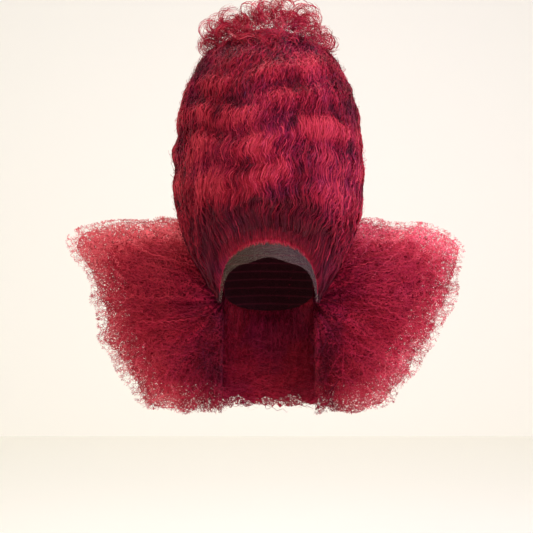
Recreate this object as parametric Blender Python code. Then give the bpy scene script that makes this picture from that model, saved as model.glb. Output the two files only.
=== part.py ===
"""Perm wig: a lace-front cap under a tall waved beehive, with a tuft of curls on top and two frizzed wings.

The origin is the inside of the cap at the crown, where a head holds the wig up. X runs to the right of
someone who faces the wig's face opening, +Y away from them and +Z up. Lengths are in metres.
"""

import math
from collections import namedtuple

import bmesh
import bpy
from mathutils import Matrix, Vector

# Head form and cap
HEAD_BREADTH = 0.152  # inside of the cap, ear to ear
HEAD_LENGTH = 0.194  # inside of the cap, forehead to back
HEAD_HEIGHT = 0.095  # from the widest level up to the crown
CAP_DEPTH = 0.150  # from the crown down to the rim at the nape
NAPE_TAPER = 0.06  # share of the girth lost at the nape rim
CAP_WALL = 0.0018
LACE_WALL = 0.001
LACE_REACH = 0.028  # widest part of the strip ahead of the hairline
SEAM_GAP = 0.0005  # between the cap's edge and the lace, along the surface
FIT_GAP = 0.0003  # between each hair piece and what it rests on
ROOT_THICKNESS = 0.004  # of the hair at its rim, on top of the cap
HEAD_FORM_EXTRA = 0.012  # of the head form below the cap's rim

# Tower of hair
TOWER_WIDTH = 0.264
TOWER_DEPTH = 0.250
TOWER_TOP = 0.242  # above the crown
SWELL_LEVEL = 0.028  # height of the widest section above the crown
TOWER_SET_BACK = 0.006  # of the tower's axis behind the crown
WAVE_DEPTH = 0.0045  # of a crest out from the mean surface
WAVE_PITCH_LOW = 0.0525  # from crest to crest at the crown's level
WAVE_PITCH_HIGH = 0.0352  # from crest to crest at the tower's top
FIRST_CREST = 0.031  # height of the lowest crest
CREST_RIPPLE = 0.08  # share of a wave by which a crest wanders on its way round
CREST_FADE = 0.28  # share of its depth that a crest loses here and there
BROW_DIP = 0.009  # depth of the hollow over the middle of the hairline
BROW_DIP_SPREAD = 17.0  # degrees to each side

# Tuft of curls on the tower
TUFT_WIDTH = 0.164
TUFT_DEPTH = 0.144
TUFT_RISE = 0.034  # of the packed middle above the tower's top
TUFT_SINK = 0.020  # of the tuft's centre below the tower's top
CURL_RADIUS = 0.017  # of a loop's centre line
LOCK_RADIUS = 0.0068  # of a curled lock at its root
LOCK_TAPER = 0.45  # share of that radius lost by the tip
CURL_TURN = 300.0  # degrees of a loop

# Wings and the hair behind the neck
WING_ROOT = 0.070  # distance of a wing's inner face from the middle
WING_HUB_LEVEL = -0.130  # height that the locks fan out from
WING_REACH = 0.236  # longest lock, from the hub
WING_THICKNESS = 0.112  # at the root, front to back
WING_SET_BACK = 0.072  # middle plane of a wing behind the crown
WING_LOCK_RELIEF = 0.004
WING_SCALLOP = 0.022  # share by which a lock's end stands past the outline
WING_FULLNESS = 2.4  # power of the wing's section: 2 is an ellipse, more is fuller
NAPE_THICKNESS = 0.066  # from the back of the neck to the hair's back face
NECK_BACK = 0.078  # front face of the hair behind the neck
NAPE_TUCK = 0.042  # how far back its hidden front starts beside the cap
NAPE_BOTTOM = -0.290
NAPE_TOP = -0.022
NAPE_LOCK_RELIEF = 0.0035
NAPE_ROUNDING = 0.28  # share of its thickness lost towards the sides

# Mesh steps
HALF_COLUMNS = 26  # round half of the head
CAP_ROWS = 7
SWEEP_ROWS = 8
TOWER_ROWS = 22
CROWN_ROWS = 4
TUFT_COLUMNS = 20
TUFT_ROWS = 7
CURL_STEPS = 9
LOCK_SIDES = 6
WING_LOCKS = 10
LOCK_COLUMNS = 4
NAPE_LOCKS = 7
NAPE_ROWS = 10
NAPE_FRONTS = 4
LACE_ROWS = 2
HEAD_FORM_ROWS = 3
NEARBY = 0.05  # of a station, for the hairline's direction

Edge = namedtuple("Edge", "azimuth cap_rim hair_rim lace_reach")
# Stations from the middle of the forehead round to the nape. Azimuth in degrees from the face,
# rims as shares of CAP_DEPTH and the lace as a share of LACE_REACH.
EDGES = (
    Edge(0, 0.267, 0.267, 0.86),
    Edge(13, 0.275, 0.275, 0.93),
    Edge(26, 0.300, 0.300, 1.00),
    Edge(37, 0.345, 0.345, 0.92),
    Edge(46, 0.410, 0.410, 0.80),
    Edge(53, 0.490, 0.490, 0.64),
    Edge(57.5, 0.580, 0.580, 0.48),
    Edge(61, 0.680, 0.680, 0.36),
    Edge(64, 0.780, 0.780, 0.28),
    Edge(66.5, 0.853, 0.853, 0.20),
    Edge(72, 0.853, 0.853, 0.0),
    Edge(78, 0.770, 0.770, 0.0),
    Edge(86, 0.710, 0.710, 0.0),
    Edge(96, 0.700, 0.660, 0.0),
    Edge(107, 0.740, 0.610, 0.0),
    Edge(119, 0.820, 0.550, 0.0),
    Edge(131, 0.900, 0.500, 0.0),
    Edge(147, 0.965, 0.440, 0.0),
    Edge(163, 0.990, 0.400, 0.0),
    Edge(180, 1.000, 0.370, 0.0),
)
LACE_END = 9.0  # station where the lace runs out in front of the ear
Station = namedtuple("Station", "azimuth cap_rim hair_rim lace_reach")  # in radians and metres

Sweep = namedtuple("Sweep", "rise flare")
# How the hair swings out from its rim to the widest section, as shares of both.
SWEEPS = (
    Sweep(0.0, 0.0),
    Sweep(0.16, 0.19),
    Sweep(0.28, 0.41),
    Sweep(0.41, 0.63),
    Sweep(0.59, 0.80),
    Sweep(0.78, 0.94),
    Sweep(1.0, 1.0),
)
CROWN_POWER = 2.4
CROWN_ROUNDNESS = 0.30
CROWN_CROWDING = 2.6  # how closely the last rows follow each other
STRAIGHT_SHARE = 0.84  # share of the tower's height below its domed top

Drift = namedtuple("Drift", "azimuth shift")
# How far the wave crests lie above FIRST_CREST and its repeats, as shares of a wave.
DRIFTS = (
    Drift(-180, 0.30),
    Drift(-135, -0.25),
    Drift(-90, 0.0),
    Drift(-51, 0.08),
    Drift(-19, 0.0),
    Drift(7, 0.38),
    Drift(38, 0.70),
    Drift(51, 0.58),
    Drift(90, 0.25),
    Drift(135, 0.60),
    Drift(180, 0.30),
)

Ray = namedtuple("Ray", "rise reach")
# A wing's outline: degrees above level and share of WING_REACH.
LEFT_RAYS = (
    Ray(-90, 0.68),
    Ray(-73, 0.71),
    Ray(-60, 0.77),
    Ray(-52, 0.81),
    Ray(-46, 0.784),
    Ray(-33, 0.76),
    Ray(-20, 0.77),
    Ray(-4, 0.763),
    Ray(5, 0.79),
    Ray(13, 0.86),
    Ray(18, 0.97),
    Ray(25, 1.0),
    Ray(32, 0.85),
    Ray(45, 0.67),
    Ray(64, 0.53),
    Ray(90, 0.44),
)
RIGHT_RAYS = (
    Ray(-90, 0.68),
    Ray(-73, 0.71),
    Ray(-58, 0.77),
    Ray(-43, 0.744),
    Ray(-25, 0.75),
    Ray(-10, 0.79),
    Ray(-3, 0.83),
    Ray(9, 0.877),
    Ray(18, 0.924),
    Ray(24, 0.924),
    Ray(30, 0.86),
    Ray(42, 0.68),
    Ray(63, 0.535),
    Ray(90, 0.44),
)
WING_SHARES = (0.20, 0.42, 0.62, 0.78, 0.90, 0.97, 1.0)

Slab = namedtuple("Slab", "drop fullness")
# The hair behind the neck: how far down, and how thick as a share of NAPE_THICKNESS.
SLABS = (
    Slab(0.0, 0.55),
    Slab(0.16, 0.86),
    Slab(0.35, 1.0),
    Slab(0.60, 1.06),
    Slab(0.80, 0.96),
    Slab(0.92, 0.76),
    Slab(1.0, 0.45),
)

Curl = namedtuple("Curl", "azimuth out lift size turn lean")
# Loops of the tuft: azimuth in degrees, distance out as a share of the half width, lift and size as
# shares of CURL_RADIUS, and the loop's own turn and lean in degrees.
CURLS = (
    Curl(-84, 0.74, 0.45, 0.95, 8, 12),
    Curl(-50, 0.66, 0.55, 1.00, -22, -8),
    Curl(-14, 0.44, 0.50, 0.92, 30, 10),
    Curl(28, 0.50, 0.55, 1.00, -12, -14),
    Curl(64, 0.70, 0.50, 1.05, 18, 8),
    Curl(96, 0.76, 0.40, 1.00, -10, -16),
    Curl(150, 0.58, 0.50, 0.95, 40, 10),
    Curl(-140, 0.58, 0.55, 1.00, -46, 12),
)

HAIR_RED = (0.30, 0.012, 0.030)
FRIZZ_RED = (0.26, 0.012, 0.034)
TUFT_RED = (0.34, 0.016, 0.040)
NET_BROWN = (0.16, 0.05, 0.04)
LACE_BEIGE = (0.62, 0.45, 0.34)


def clear_scene():
    for thing in list(bpy.data.objects):
        bpy.data.objects.remove(thing, do_unlink=True)


def surface(name, colour, roughness):
    material = bpy.data.materials.new(name)
    material.use_nodes = True
    shader = material.node_tree.nodes["Principled BSDF"]
    shader.inputs["Base Color"].default_value = (*colour, 1.0)
    shader.inputs["Roughness"].default_value = roughness
    shader.inputs["Metallic"].default_value = 0.0
    material.diffuse_color = (*colour, 1.0)
    return material


def curve_through(places, values, at):
    """The value at a place, read from a smooth curve through the given ones."""
    last = len(places) - 1
    slopes = []
    for i in range(last + 1):
        before, after = max(i - 1, 0), min(i + 1, last)
        slopes.append((values[after] - values[before]) / (places[after] - places[before]))
    slopes[0] = slopes[last] = 0.0
    at = min(max(at, places[0]), places[last])
    start = max(i for i in range(last) if places[i] <= at)
    step = places[start + 1] - places[start]
    share = (at - places[start]) / step
    square, cube = share**2, share**3
    return (
        (2 * cube - 3 * square + 1) * values[start]
        + (cube - 2 * square + share) * step * slopes[start]
        + (3 * square - 2 * cube) * values[start + 1]
        + (cube - square) * step * slopes[start + 1]
    )


def read_table(rows, at):
    """All the later columns of a table at one value of its first."""
    columns = list(zip(*rows))
    return [curve_through(columns[0], column, at) for column in columns[1:]]


def station_at(place, side=1):
    """The rims at a place along EDGES, on the right for side 1 and on the left for side -1."""
    places = range(len(EDGES))
    azimuth, cap, hair, lace = [curve_through(places, column, place) for column in zip(*EDGES)]
    return Station(side * math.radians(azimuth), cap * CAP_DEPTH, hair * CAP_DEPTH, lace * LACE_REACH)


def stations():
    """The columns round the whole head, from the nape by the left, the face and the right."""
    step = (len(EDGES) - 1) / HALF_COLUMNS
    left = [station_at(i * step, -1) for i in range(HALF_COLUMNS - 1, 0, -1)]
    right = [station_at(i * step) for i in range(HALF_COLUMNS + 1)]
    return left + right


def crown_angle(depth):
    """The angle down from the crown at which the head form reaches a depth."""
    if depth < HEAD_HEIGHT:
        return math.acos(1 - depth / HEAD_HEIGHT)
    return math.pi / 2 + (depth - HEAD_HEIGHT) / HEAD_HEIGHT


def head_point(azimuth, angle, proud):
    """A point on the head form or proud of it, by azimuth and by angle down from the crown."""
    upper = min(angle, math.pi / 2)
    below = (angle - upper) * HEAD_HEIGHT
    girth = math.sin(upper) - NAPE_TAPER * (below / (CAP_DEPTH - HEAD_HEIGHT)) ** 2
    return Vector(
        (
            (HEAD_BREADTH / 2 + proud) * girth * math.sin(azimuth),
            -(HEAD_LENGTH / 2 + proud) * girth * math.cos(azimuth),
            (HEAD_HEIGHT + proud) * math.cos(upper) - HEAD_HEIGHT - below,
        )
    )


def ring(mesh, points):
    return [mesh.verts.new(point) for point in points]


def skin(mesh, rings, wrap=True):
    """Pairs of triangles between neighbouring rings, always split the same way so that fits are even."""
    for near, far in zip(rings, rings[1:]):
        count = len(near)
        for i in range(count if wrap else count - 1):
            after = (i + 1) % count
            mesh.faces.new((near[i], near[after], far[after]))
            mesh.faces.new((near[i], far[after], far[i]))


def fan(mesh, centre, points):
    """Triangles from a point to a closed ring."""
    hub = mesh.verts.new(centre)
    for i, point in enumerate(points):
        mesh.faces.new((hub, point, points[(i + 1) % len(points)]))


def finished(name, mesh, material=None):
    """The object made from a closed mesh, with its faces turned out."""
    bmesh.ops.recalc_face_normals(mesh, faces=mesh.faces)
    if mesh.calc_volume(signed=True) < 0:
        bmesh.ops.reverse_faces(mesh, faces=mesh.faces)
    data = bpy.data.meshes.new(name)
    mesh.to_mesh(data)
    mesh.free()
    data.shade_smooth()
    thing = bpy.data.objects.new(name, data)
    bpy.context.collection.objects.link(thing)
    if material:
        data.materials.append(material)
    return thing


def hide(thing):
    thing.hide_render = True
    thing.display_type = "WIRE"
    return thing


def combine(thing, other, operation):
    modifier = thing.modifiers.new(f"{operation.lower()} {other.name}", "BOOLEAN")
    modifier.operation = operation
    modifier.solver = "EXACT"
    modifier.object = other


def widened(name, thing):
    """A hidden copy of a solid, grown by FIT_GAP, which cuts the room for it out of its neighbours."""
    cutter = bpy.data.objects.new(name, thing.data)
    bpy.context.collection.objects.link(cutter)
    grow = cutter.modifiers.new("fit gap", "DISPLACE")
    grow.strength = FIT_GAP
    grow.mid_level = 0.0
    return hide(cutter)


def cap_rings(mesh, columns, proud):
    """Rings of the cap from near the crown down to the rim, that far proud of the head form."""
    rings = []
    for row in range(1, CAP_ROWS + 1):
        share = row / CAP_ROWS
        points = [head_point(c.azimuth, share * crown_angle(c.cap_rim), proud) for c in columns]
        rings.append(ring(mesh, points))
    return rings


def build_cap(columns):
    mesh = bmesh.new()
    inner = cap_rings(mesh, columns, 0.0)
    outer = cap_rings(mesh, columns, CAP_WALL)
    for rings in (inner, outer, (inner[-1], outer[-1])):
        skin(mesh, rings)
    fan(mesh, (0, 0, 0), inner[0])
    fan(mesh, (0, 0, CAP_WALL), outer[0])
    return finished("wig_cap", mesh, surface("net", NET_BROWN, 0.8))


def build_head_form(columns):
    """The solid inside the hair: the cap's outer face, carried on below its rim."""
    mesh = bmesh.new()
    rings = cap_rings(mesh, columns, CAP_WALL)
    bottom = crown_angle(CAP_DEPTH + HEAD_FORM_EXTRA)
    for row in range(1, HEAD_FORM_ROWS + 1):
        points = []
        for column in columns:
            rim = crown_angle(column.cap_rim)
            angle = rim + (bottom - rim) * row / HEAD_FORM_ROWS
            points.append(head_point(column.azimuth, angle, CAP_WALL))
        rings.append(ring(mesh, points))
    skin(mesh, rings)
    fan(mesh, (0, 0, CAP_WALL), rings[0])
    fan(mesh, (0, 0, -CAP_DEPTH - HEAD_FORM_EXTRA), rings[-1])
    return hide(finished("head_form", mesh))


def ahead_of_hairline(place, side, reach):
    """Azimuth and depth of the point that far ahead of the hairline, square to it."""
    girth = (HEAD_BREADTH + HEAD_LENGTH) / 4
    here = station_at(place, side)
    before, after = station_at(place - NEARBY, side), station_at(place + NEARBY, side)
    along = Vector(((after.azimuth - before.azimuth) * girth, after.cap_rim - before.cap_rim))
    if place < NEARBY:
        along = Vector((side, 0))
    along.normalize()
    return here.azimuth - side * along.y * reach / girth, here.cap_rim + side * along.x * reach


def build_lace():
    """A strip of the head form's surface, from the cap's edge to the lace's own."""
    step = (len(EDGES) - 1) / HALF_COLUMNS
    count = int(LACE_END / step)
    places = [(i * step, -1) for i in range(count, 0, -1)] + [(i * step, 1) for i in range(count + 1)]
    mesh = bmesh.new()
    inner, outer = [], []
    for row in range(LACE_ROWS + 1):
        for proud, lines in ((0.0, inner), (LACE_WALL, outer)):
            points = []
            for place, side in places:
                width = station_at(place, side).lace_reach - SEAM_GAP
                reach = SEAM_GAP + width * row / LACE_ROWS
                azimuth, depth = ahead_of_hairline(place, side, reach)
                points.append(head_point(azimuth, crown_angle(depth), proud))
            lines.append(ring(mesh, points))
    skin(mesh, inner + outer[::-1] + inner[:1], wrap=False)
    for end in (0, -1):
        for row in range(LACE_ROWS):
            lines = inner[row], inner[row + 1], outer[row + 1], outer[row]
            mesh.faces.new([line[end] for line in lines])
    return finished("lace_front", mesh, surface("lace", LACE_BEIGE, 0.7))


def tower_surface(level, column):
    """A point of the tower's mean surface, from -1 at the rim through 0 at the swell to 1 at the top."""
    sine, cosine = math.sin(column.azimuth), math.cos(column.azimuth)
    swell = Vector((TOWER_WIDTH / 2 * sine, TOWER_SET_BACK - TOWER_DEPTH / 2 * cosine, SWELL_LEVEL))
    if level < 0:
        root = head_point(column.azimuth, crown_angle(column.hair_rim), CAP_WALL + ROOT_THICKNESS)
        (flare,) = read_table(SWEEPS, level + 1)
        point = root.lerp(swell, flare)
        point.z = root.z + (swell.z - root.z) * (level + 1)
        return point
    girth = (1 - level**CROWN_POWER) ** CROWN_ROUNDNESS
    axis = Vector((0, TOWER_SET_BACK, SWELL_LEVEL))
    point = axis + (swell - axis) * girth
    point.z += (TOWER_TOP - SWELL_LEVEL) * level
    return point


def wave(azimuth, height):
    """How far the crimped surface stands out, from -1 in a trough to 1 on a crest."""
    narrowing = (WAVE_PITCH_HIGH - WAVE_PITCH_LOW) / TOWER_TOP
    pitch = WAVE_PITCH_LOW + narrowing * height
    first_pitch = WAVE_PITCH_LOW + narrowing * FIRST_CREST
    crests_below = (height - FIRST_CREST) / ((pitch + first_pitch) / 2)
    (shift,) = read_table(DRIFTS, math.degrees(azimuth))
    share = min(max(height / TOWER_TOP, 0.0), 1.0)
    ripple = CREST_RIPPLE * math.sin(6 * azimuth + 1.0 + 5 * share)
    swing = math.cos(2 * math.pi * (crests_below - shift + ripple))
    return swing * (1 - CREST_FADE + CREST_FADE * math.sin(5 * azimuth + 3 * math.pi * share))


def tower_point(level, column):
    """The tower's surface with its waves, and the hollow over the middle of the hairline."""
    point = tower_surface(level, column)
    outward = Vector((math.sin(column.azimuth), -math.cos(column.azimuth), 0))
    begin = min(max((level + 0.25) / 0.35, 0.0), 1.0)
    end = min(max((1 - level) / 0.25, 0.0), 1.0)
    push = WAVE_DEPTH * wave(column.azimuth, point.z) * begin * end
    if level < 0:
        middle = math.exp(-((column.azimuth / math.radians(BROW_DIP_SPREAD)) ** 2))
        push -= BROW_DIP * middle * math.sin(math.pi * (level + 1)) ** 2
    return point + outward * push


def tower_levels():
    levels = [row / SWEEP_ROWS - 1 for row in range(SWEEP_ROWS)]
    levels += [STRAIGHT_SHARE * row / TOWER_ROWS for row in range(TOWER_ROWS)]
    for row in range(CROWN_ROWS + 1):
        closing = 1 - (1 - row / (CROWN_ROWS + 1)) ** CROWN_CROWDING
        levels.append(STRAIGHT_SHARE + (1 - STRAIGHT_SHARE) * closing)
    return levels


def build_beehive(columns, head_room):
    mesh = bmesh.new()
    inside = [head_point(c.azimuth, crown_angle(c.hair_rim), -ROOT_THICKNESS) for c in columns]
    rings = [ring(mesh, inside)]
    for level in tower_levels():
        rings.append(ring(mesh, [tower_point(level, column) for column in columns]))
    skin(mesh, rings)
    fan(mesh, (0, 0, -HEAD_HEIGHT / 2), rings[0])
    fan(mesh, (0, TOWER_SET_BACK, TOWER_TOP), rings[-1])
    tower = finished("beehive", mesh, surface("crimped_hair", HAIR_RED, 0.45))
    room = widened("beehive_room", tower)
    combine(tower, head_room, "DIFFERENCE")
    return room


def tuft_centre():
    return Vector((0, TOWER_SET_BACK, TOWER_TOP - TUFT_SINK))


def tuft_point(azimuth, rise):
    """A point of the tuft's packed middle, by azimuth and by angle above its centre's level."""
    lump = 1 + 0.05 * math.sin(5 * azimuth + 1.2) + 0.04 * math.sin(3 * azimuth)
    across = math.cos(rise) * lump
    return tuft_centre() + Vector(
        (
            TUFT_WIDTH / 2 * across * math.sin(azimuth),
            -TUFT_DEPTH / 2 * across * math.cos(azimuth),
            (TUFT_RISE + TUFT_SINK) * math.sin(rise),
        )
    )


def build_lock(name, curl):
    """One curled lock: a tapering tube round most of a loop that starts inside the tuft."""
    seat = tuft_point(math.radians(curl.azimuth), math.acos(curl.out))
    out = (seat - tuft_centre()).normalized()
    across = out.cross(Vector((0, 1, 0))).normalized()
    across = Matrix.Rotation(math.radians(curl.turn), 3, out) @ across
    face = out.cross(across)
    radius = CURL_RADIUS * curl.size
    centre = seat + out * radius * curl.lift
    mesh = bmesh.new()
    rings = []
    for step in range(CURL_STEPS + 1):
        share = step / CURL_STEPS
        turn = math.radians(CURL_TURN) * share
        spoke = across * math.sin(turn) - out * math.cos(turn)
        drift = face * math.radians(curl.lean) * radius * share
        thickness = LOCK_RADIUS * (1 - LOCK_TAPER * share)
        points = []
        for side in range(LOCK_SIDES):
            around = 2 * math.pi * side / LOCK_SIDES
            offset = spoke * math.cos(around) + face * math.sin(around)
            points.append(centre + spoke * radius + drift + offset * thickness)
        rings.append(ring(mesh, points))
    skin(mesh, rings)
    for end in (rings[0], rings[-1]):
        mesh.faces.new(end)
    return hide(finished(name, mesh))


def build_tuft(tower_room):
    mesh = bmesh.new()
    rings = []
    for row in range(1, TUFT_ROWS):
        rise = math.pi * (row / TUFT_ROWS - 0.5)
        azimuths = [2 * math.pi * i / TUFT_COLUMNS for i in range(TUFT_COLUMNS)]
        rings.append(ring(mesh, [tuft_point(azimuth, rise) for azimuth in azimuths]))
    skin(mesh, rings)
    fan(mesh, tuft_point(0, -math.pi / 2), rings[0])
    fan(mesh, tuft_point(0, math.pi / 2), rings[-1])
    tuft = finished("top_curls", mesh, surface("curled_hair", TUFT_RED, 0.5))
    for number, curl in enumerate(CURLS, 1):
        combine(tuft, build_lock(f"lock_{number}", curl), "UNION")
    combine(tuft, tower_room, "DIFFERENCE")


def build_wing(name, side, rays, room):
    """A fan of frizzed locks: two fluted faces that meet along a scalloped rim."""
    mesh = bmesh.new()
    columns = WING_LOCKS * LOCK_COLUMNS
    front, back = [], []
    for column in range(columns + 1):
        rise = 180 * column / columns - 90
        (reach,) = read_table(rays, rise)
        rise = math.radians(rise)
        ridge = math.cos(2 * math.pi * column / LOCK_COLUMNS)
        lines = [], []
        for share in WING_SHARES:
            out = WING_REACH * reach * share * (1 + WING_SCALLOP * ridge * share)
            x = side * (WING_ROOT + out * math.cos(rise))
            z = WING_HUB_LEVEL + out * math.sin(rise)
            half = WING_THICKNESS / 2 * math.sqrt(1 - share**WING_FULLNESS)
            half += WING_LOCK_RELIEF * ridge * math.sin(math.pi * share)
            if share == 1:
                tip = mesh.verts.new((x, WING_SET_BACK, z))
                lines[0].append(tip)
                lines[1].append(tip)
                continue
            lines[0].append(mesh.verts.new((x, WING_SET_BACK - half, z)))
            lines[1].append(mesh.verts.new((x, WING_SET_BACK + half, z)))
        front.append(lines[0])
        back.append(lines[1])
    hubs = []
    for half in (-WING_THICKNESS / 2, WING_THICKNESS / 2):
        hubs.append(mesh.verts.new((side * WING_ROOT, WING_SET_BACK + half, WING_HUB_LEVEL)))
    for lines, hub in zip((front, back), hubs):
        skin(mesh, lines, wrap=False)
        for near, far in zip(lines, lines[1:]):
            mesh.faces.new((hub, near[0], far[0]))
    for end in (0, -1):
        ahead, behind = front[end], back[end]
        mesh.faces.new((hubs[0], ahead[0], behind[0], hubs[1]))
        for i in range(len(ahead) - 2):
            mesh.faces.new((ahead[i], ahead[i + 1], behind[i + 1], behind[i]))
        mesh.faces.new((ahead[-2], ahead[-1], behind[-2]))
    wing = finished(name, mesh, surface(f"{name}_hair", FRIZZ_RED, 0.55))
    combine(wing, room, "DIFFERENCE")


def build_nape(room):
    """The hair behind the neck: sections one above the other, fluted on the back."""
    half = WING_ROOT - FIT_GAP
    mesh = bmesh.new()
    rings = []
    for row in range(NAPE_ROWS + 1):
        share = row / NAPE_ROWS
        height = NAPE_TOP + (NAPE_BOTTOM - NAPE_TOP) * share
        (fullness,) = read_table(SLABS, share)
        front = NECK_BACK if height < -CAP_DEPTH else NAPE_TUCK
        points = [(half * (2 * i / NAPE_FRONTS - 1), front, height) for i in range(NAPE_FRONTS + 1)]
        backs = NAPE_LOCKS * LOCK_COLUMNS
        for i in range(backs + 1):
            across = 1 - 2 * i / backs
            ridge = math.cos(2 * math.pi * i / LOCK_COLUMNS)
            bulge = 1 - NAPE_ROUNDING * across**2
            y = NECK_BACK + NAPE_THICKNESS * fullness * bulge + NAPE_LOCK_RELIEF * ridge * (1 - across**8)
            points.append((half * across, y, height))
        rings.append(ring(mesh, points))
    skin(mesh, rings)
    for end in (rings[0], rings[-1]):
        mesh.faces.new(end)
    nape = finished("nape_frizz", mesh, surface("nape_hair", FRIZZ_RED, 0.55))
    combine(nape, room, "DIFFERENCE")


def main():
    clear_scene()
    columns = stations()
    build_cap(columns)
    build_lace()
    head_form = build_head_form(columns)
    tower_room = build_beehive(columns, widened("head_room", head_form))
    build_tuft(tower_room)
    core_room = widened("core_room", head_form)
    combine(core_room, tower_room, "UNION")
    build_wing("left_wing", -1, LEFT_RAYS, core_room)
    build_wing("right_wing", 1, RIGHT_RAYS, core_room)
    build_nape(core_room)


main()
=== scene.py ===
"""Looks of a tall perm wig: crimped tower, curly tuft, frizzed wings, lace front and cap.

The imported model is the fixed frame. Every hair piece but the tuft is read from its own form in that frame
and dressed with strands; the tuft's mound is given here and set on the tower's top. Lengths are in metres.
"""

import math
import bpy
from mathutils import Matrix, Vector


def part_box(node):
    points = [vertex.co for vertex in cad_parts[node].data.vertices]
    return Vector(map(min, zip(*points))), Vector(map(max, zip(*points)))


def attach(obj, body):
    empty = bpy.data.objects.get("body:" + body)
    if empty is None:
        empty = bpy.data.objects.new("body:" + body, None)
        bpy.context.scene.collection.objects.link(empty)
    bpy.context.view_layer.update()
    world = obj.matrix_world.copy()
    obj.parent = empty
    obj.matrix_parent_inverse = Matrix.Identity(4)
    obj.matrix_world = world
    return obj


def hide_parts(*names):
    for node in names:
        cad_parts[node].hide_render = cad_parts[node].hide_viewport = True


bl_info = {
    "name": "Perm Wig",
    "version": (1, 0, 0),
    "blender": (4, 5, 0),
    "location": "View3D > Sidebar > Wig",
    "description": "Dresses the forms of a tall perm wig with strands, lace and net",
    "category": "Object",
}

from collections import namedtuple

import bmesh
import bpy
import numpy as np
from bpy.props import FloatProperty, FloatVectorProperty, IntProperty, PointerProperty
from mathutils import Vector
from mathutils.bvhtree import BVHTree

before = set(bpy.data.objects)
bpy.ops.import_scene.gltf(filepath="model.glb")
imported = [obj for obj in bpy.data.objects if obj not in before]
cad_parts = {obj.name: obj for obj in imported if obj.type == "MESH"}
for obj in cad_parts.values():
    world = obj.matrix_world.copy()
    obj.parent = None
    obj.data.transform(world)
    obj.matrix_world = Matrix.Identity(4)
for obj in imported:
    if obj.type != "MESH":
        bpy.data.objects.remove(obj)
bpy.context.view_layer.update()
ROOT = "root"

TOWER_LOW, TOWER_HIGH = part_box("beehive")
TUFT_LOW, TUFT_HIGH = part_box("top_curls")
NAPE_LOW, NAPE_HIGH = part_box("nape_frizz")


# Properties


def length(name, description, default):
    return FloatProperty(name=name, description=description, default=default, unit="LENGTH", precision=5)


def colour(name, description, default):
    return FloatVectorProperty(
        name=name, description=description, default=default, subtype="COLOR", size=3, min=0.0, max=1.0
    )


def count(name, description, default):
    return IntProperty(name=name, description=description, default=default, min=1)


def ratio(name, description, default):
    return FloatProperty(name=name, description=description, default=default, min=0.0, subtype="FACTOR")


class TowerHair(bpy.types.PropertyGroup):
    front_strands: count("Front strands", "Crimped strands over each front quarter of the tower", 1410)
    back_strands: count("Back strands", "Crimped strands over the back half of the tower", 1530)
    fringe: count("Fringe strands", "Short fine hairs along the hairline", 1100)
    flyaways: count("Flyaways", "Loose hairs that stand off the tower", 900)
    width: length("Strand width", "Width of a strand at its middle", 0.0012)
    step: length("Step", "Distance between the points of a strand", 0.0038)
    crimp: length("Crimp", "Sideways swing of the fine crimp", 0.0008)
    crimp_pitch: length("Crimp pitch", "Length of one fine crimp", 0.013)
    swing: length("Lock swing", "Sideways swing of a whole lock", 0.0034)
    swing_pitch: length("Lock swing pitch", "Length of one swing of a lock", 0.047)
    lock_lift: length("Lock lift", "How far the middle of a lock stands over its edges", 0.0020)
    lumps: length("Lumps", "Height of the uneven swells between the waves", 0.0012)
    locks: count("Locks", "Locks round the tower", 40)
    relief: ratio("Wave relief", "Gain on the depth of the waves", 1.15)


class WingHair(bpy.types.PropertyGroup):
    strands: count("Strands", "Wavy strands in each wing", 620)
    rim_curls: count("Rim curls", "Tight loose curls along a wing's rim", 1500)
    root_curls: count("Root curls", "Tight curls along a wing's root, beside the nape", 240)
    face_curls: count("Face curls", "Tight curls over a wing's two faces", 1150)
    width: length("Strand width", "Width of a strand at its middle", 0.0011)
    curl_width: length("Curl width", "Width of a tightly curled hair", 0.0007)
    curl: length("Curl radius", "Radius of the tight curls", 0.0022)
    curl_pitch: length("Curl pitch", "Length of one tight curl along the hair", 0.0072)
    core_share: ratio("Core share", "Size of the packed core in a wing", 0.80)


class TuftHair(bpy.types.PropertyGroup):
    lock_strands: count("Strands in a lock", "Hairs gathered in each curled lock", 10)
    small_locks: count("Small locks", "Small curled locks over the tuft", 96)
    loose: count("Loose curls", "Single curls over the tuft", 760)
    width: length("Strand width", "Width of a strand at its middle", 0.0008)


class HairColours(bpy.types.PropertyGroup):
    # The darkest red stop, used for painted shade in the troughs and on the nape
    deep: colour("Deep red", "Hair in the troughs and on the nape", (0.062, 0.0006, 0.007))
    middle: colour("Cherry red", "Most of the hair", (0.300, 0.007, 0.022))
    # The bright red stop, used for painted light on the crests and at the edges
    bright: colour("Bright red", "Hair on the crests and at the edges", (0.510, 0.033, 0.052))
    plum: colour("Plum", "Broad purple patches in the hair", (0.215, 0.005, 0.032))
    # The darkest plum stop, used for painted shade in the troughs within the purple patches
    deep_plum: colour("Deep plum", "Troughs in the purple patches", (0.045, 0.001, 0.011))
    # Painted light passing through loose frizz: the last stop for the wings and the nape's veil
    halo: colour("Halo red", "Loose frizz that light passes through", (0.780, 0.120, 0.140))
    # Painted light: the glow of lit roots at the middle of the hairline, the last stop of the fringe
    roots: colour("Root red", "Roots of the fringe at the middle of the hairline", (0.560, 0.045, 0.052))
    lace: colour("Lace", "Sheer lace ahead of the hairline", (0.600, 0.430, 0.320))
    net: colour("Net", "Stretch net of the cap", (0.042, 0.004, 0.008))
    floor: colour("Floor", "Floor under the wig", (0.850, 0.825, 0.725))
    wall: colour("Wall", "Backdrop", (0.880, 0.865, 0.750))


PROPERTY_GROUPS = {
    "wig_tower": TowerHair,
    "wig_wings": WingHair,
    "wig_tuft": TuftHair,
    "wig_colours": HairColours,
}


# Materials


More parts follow.
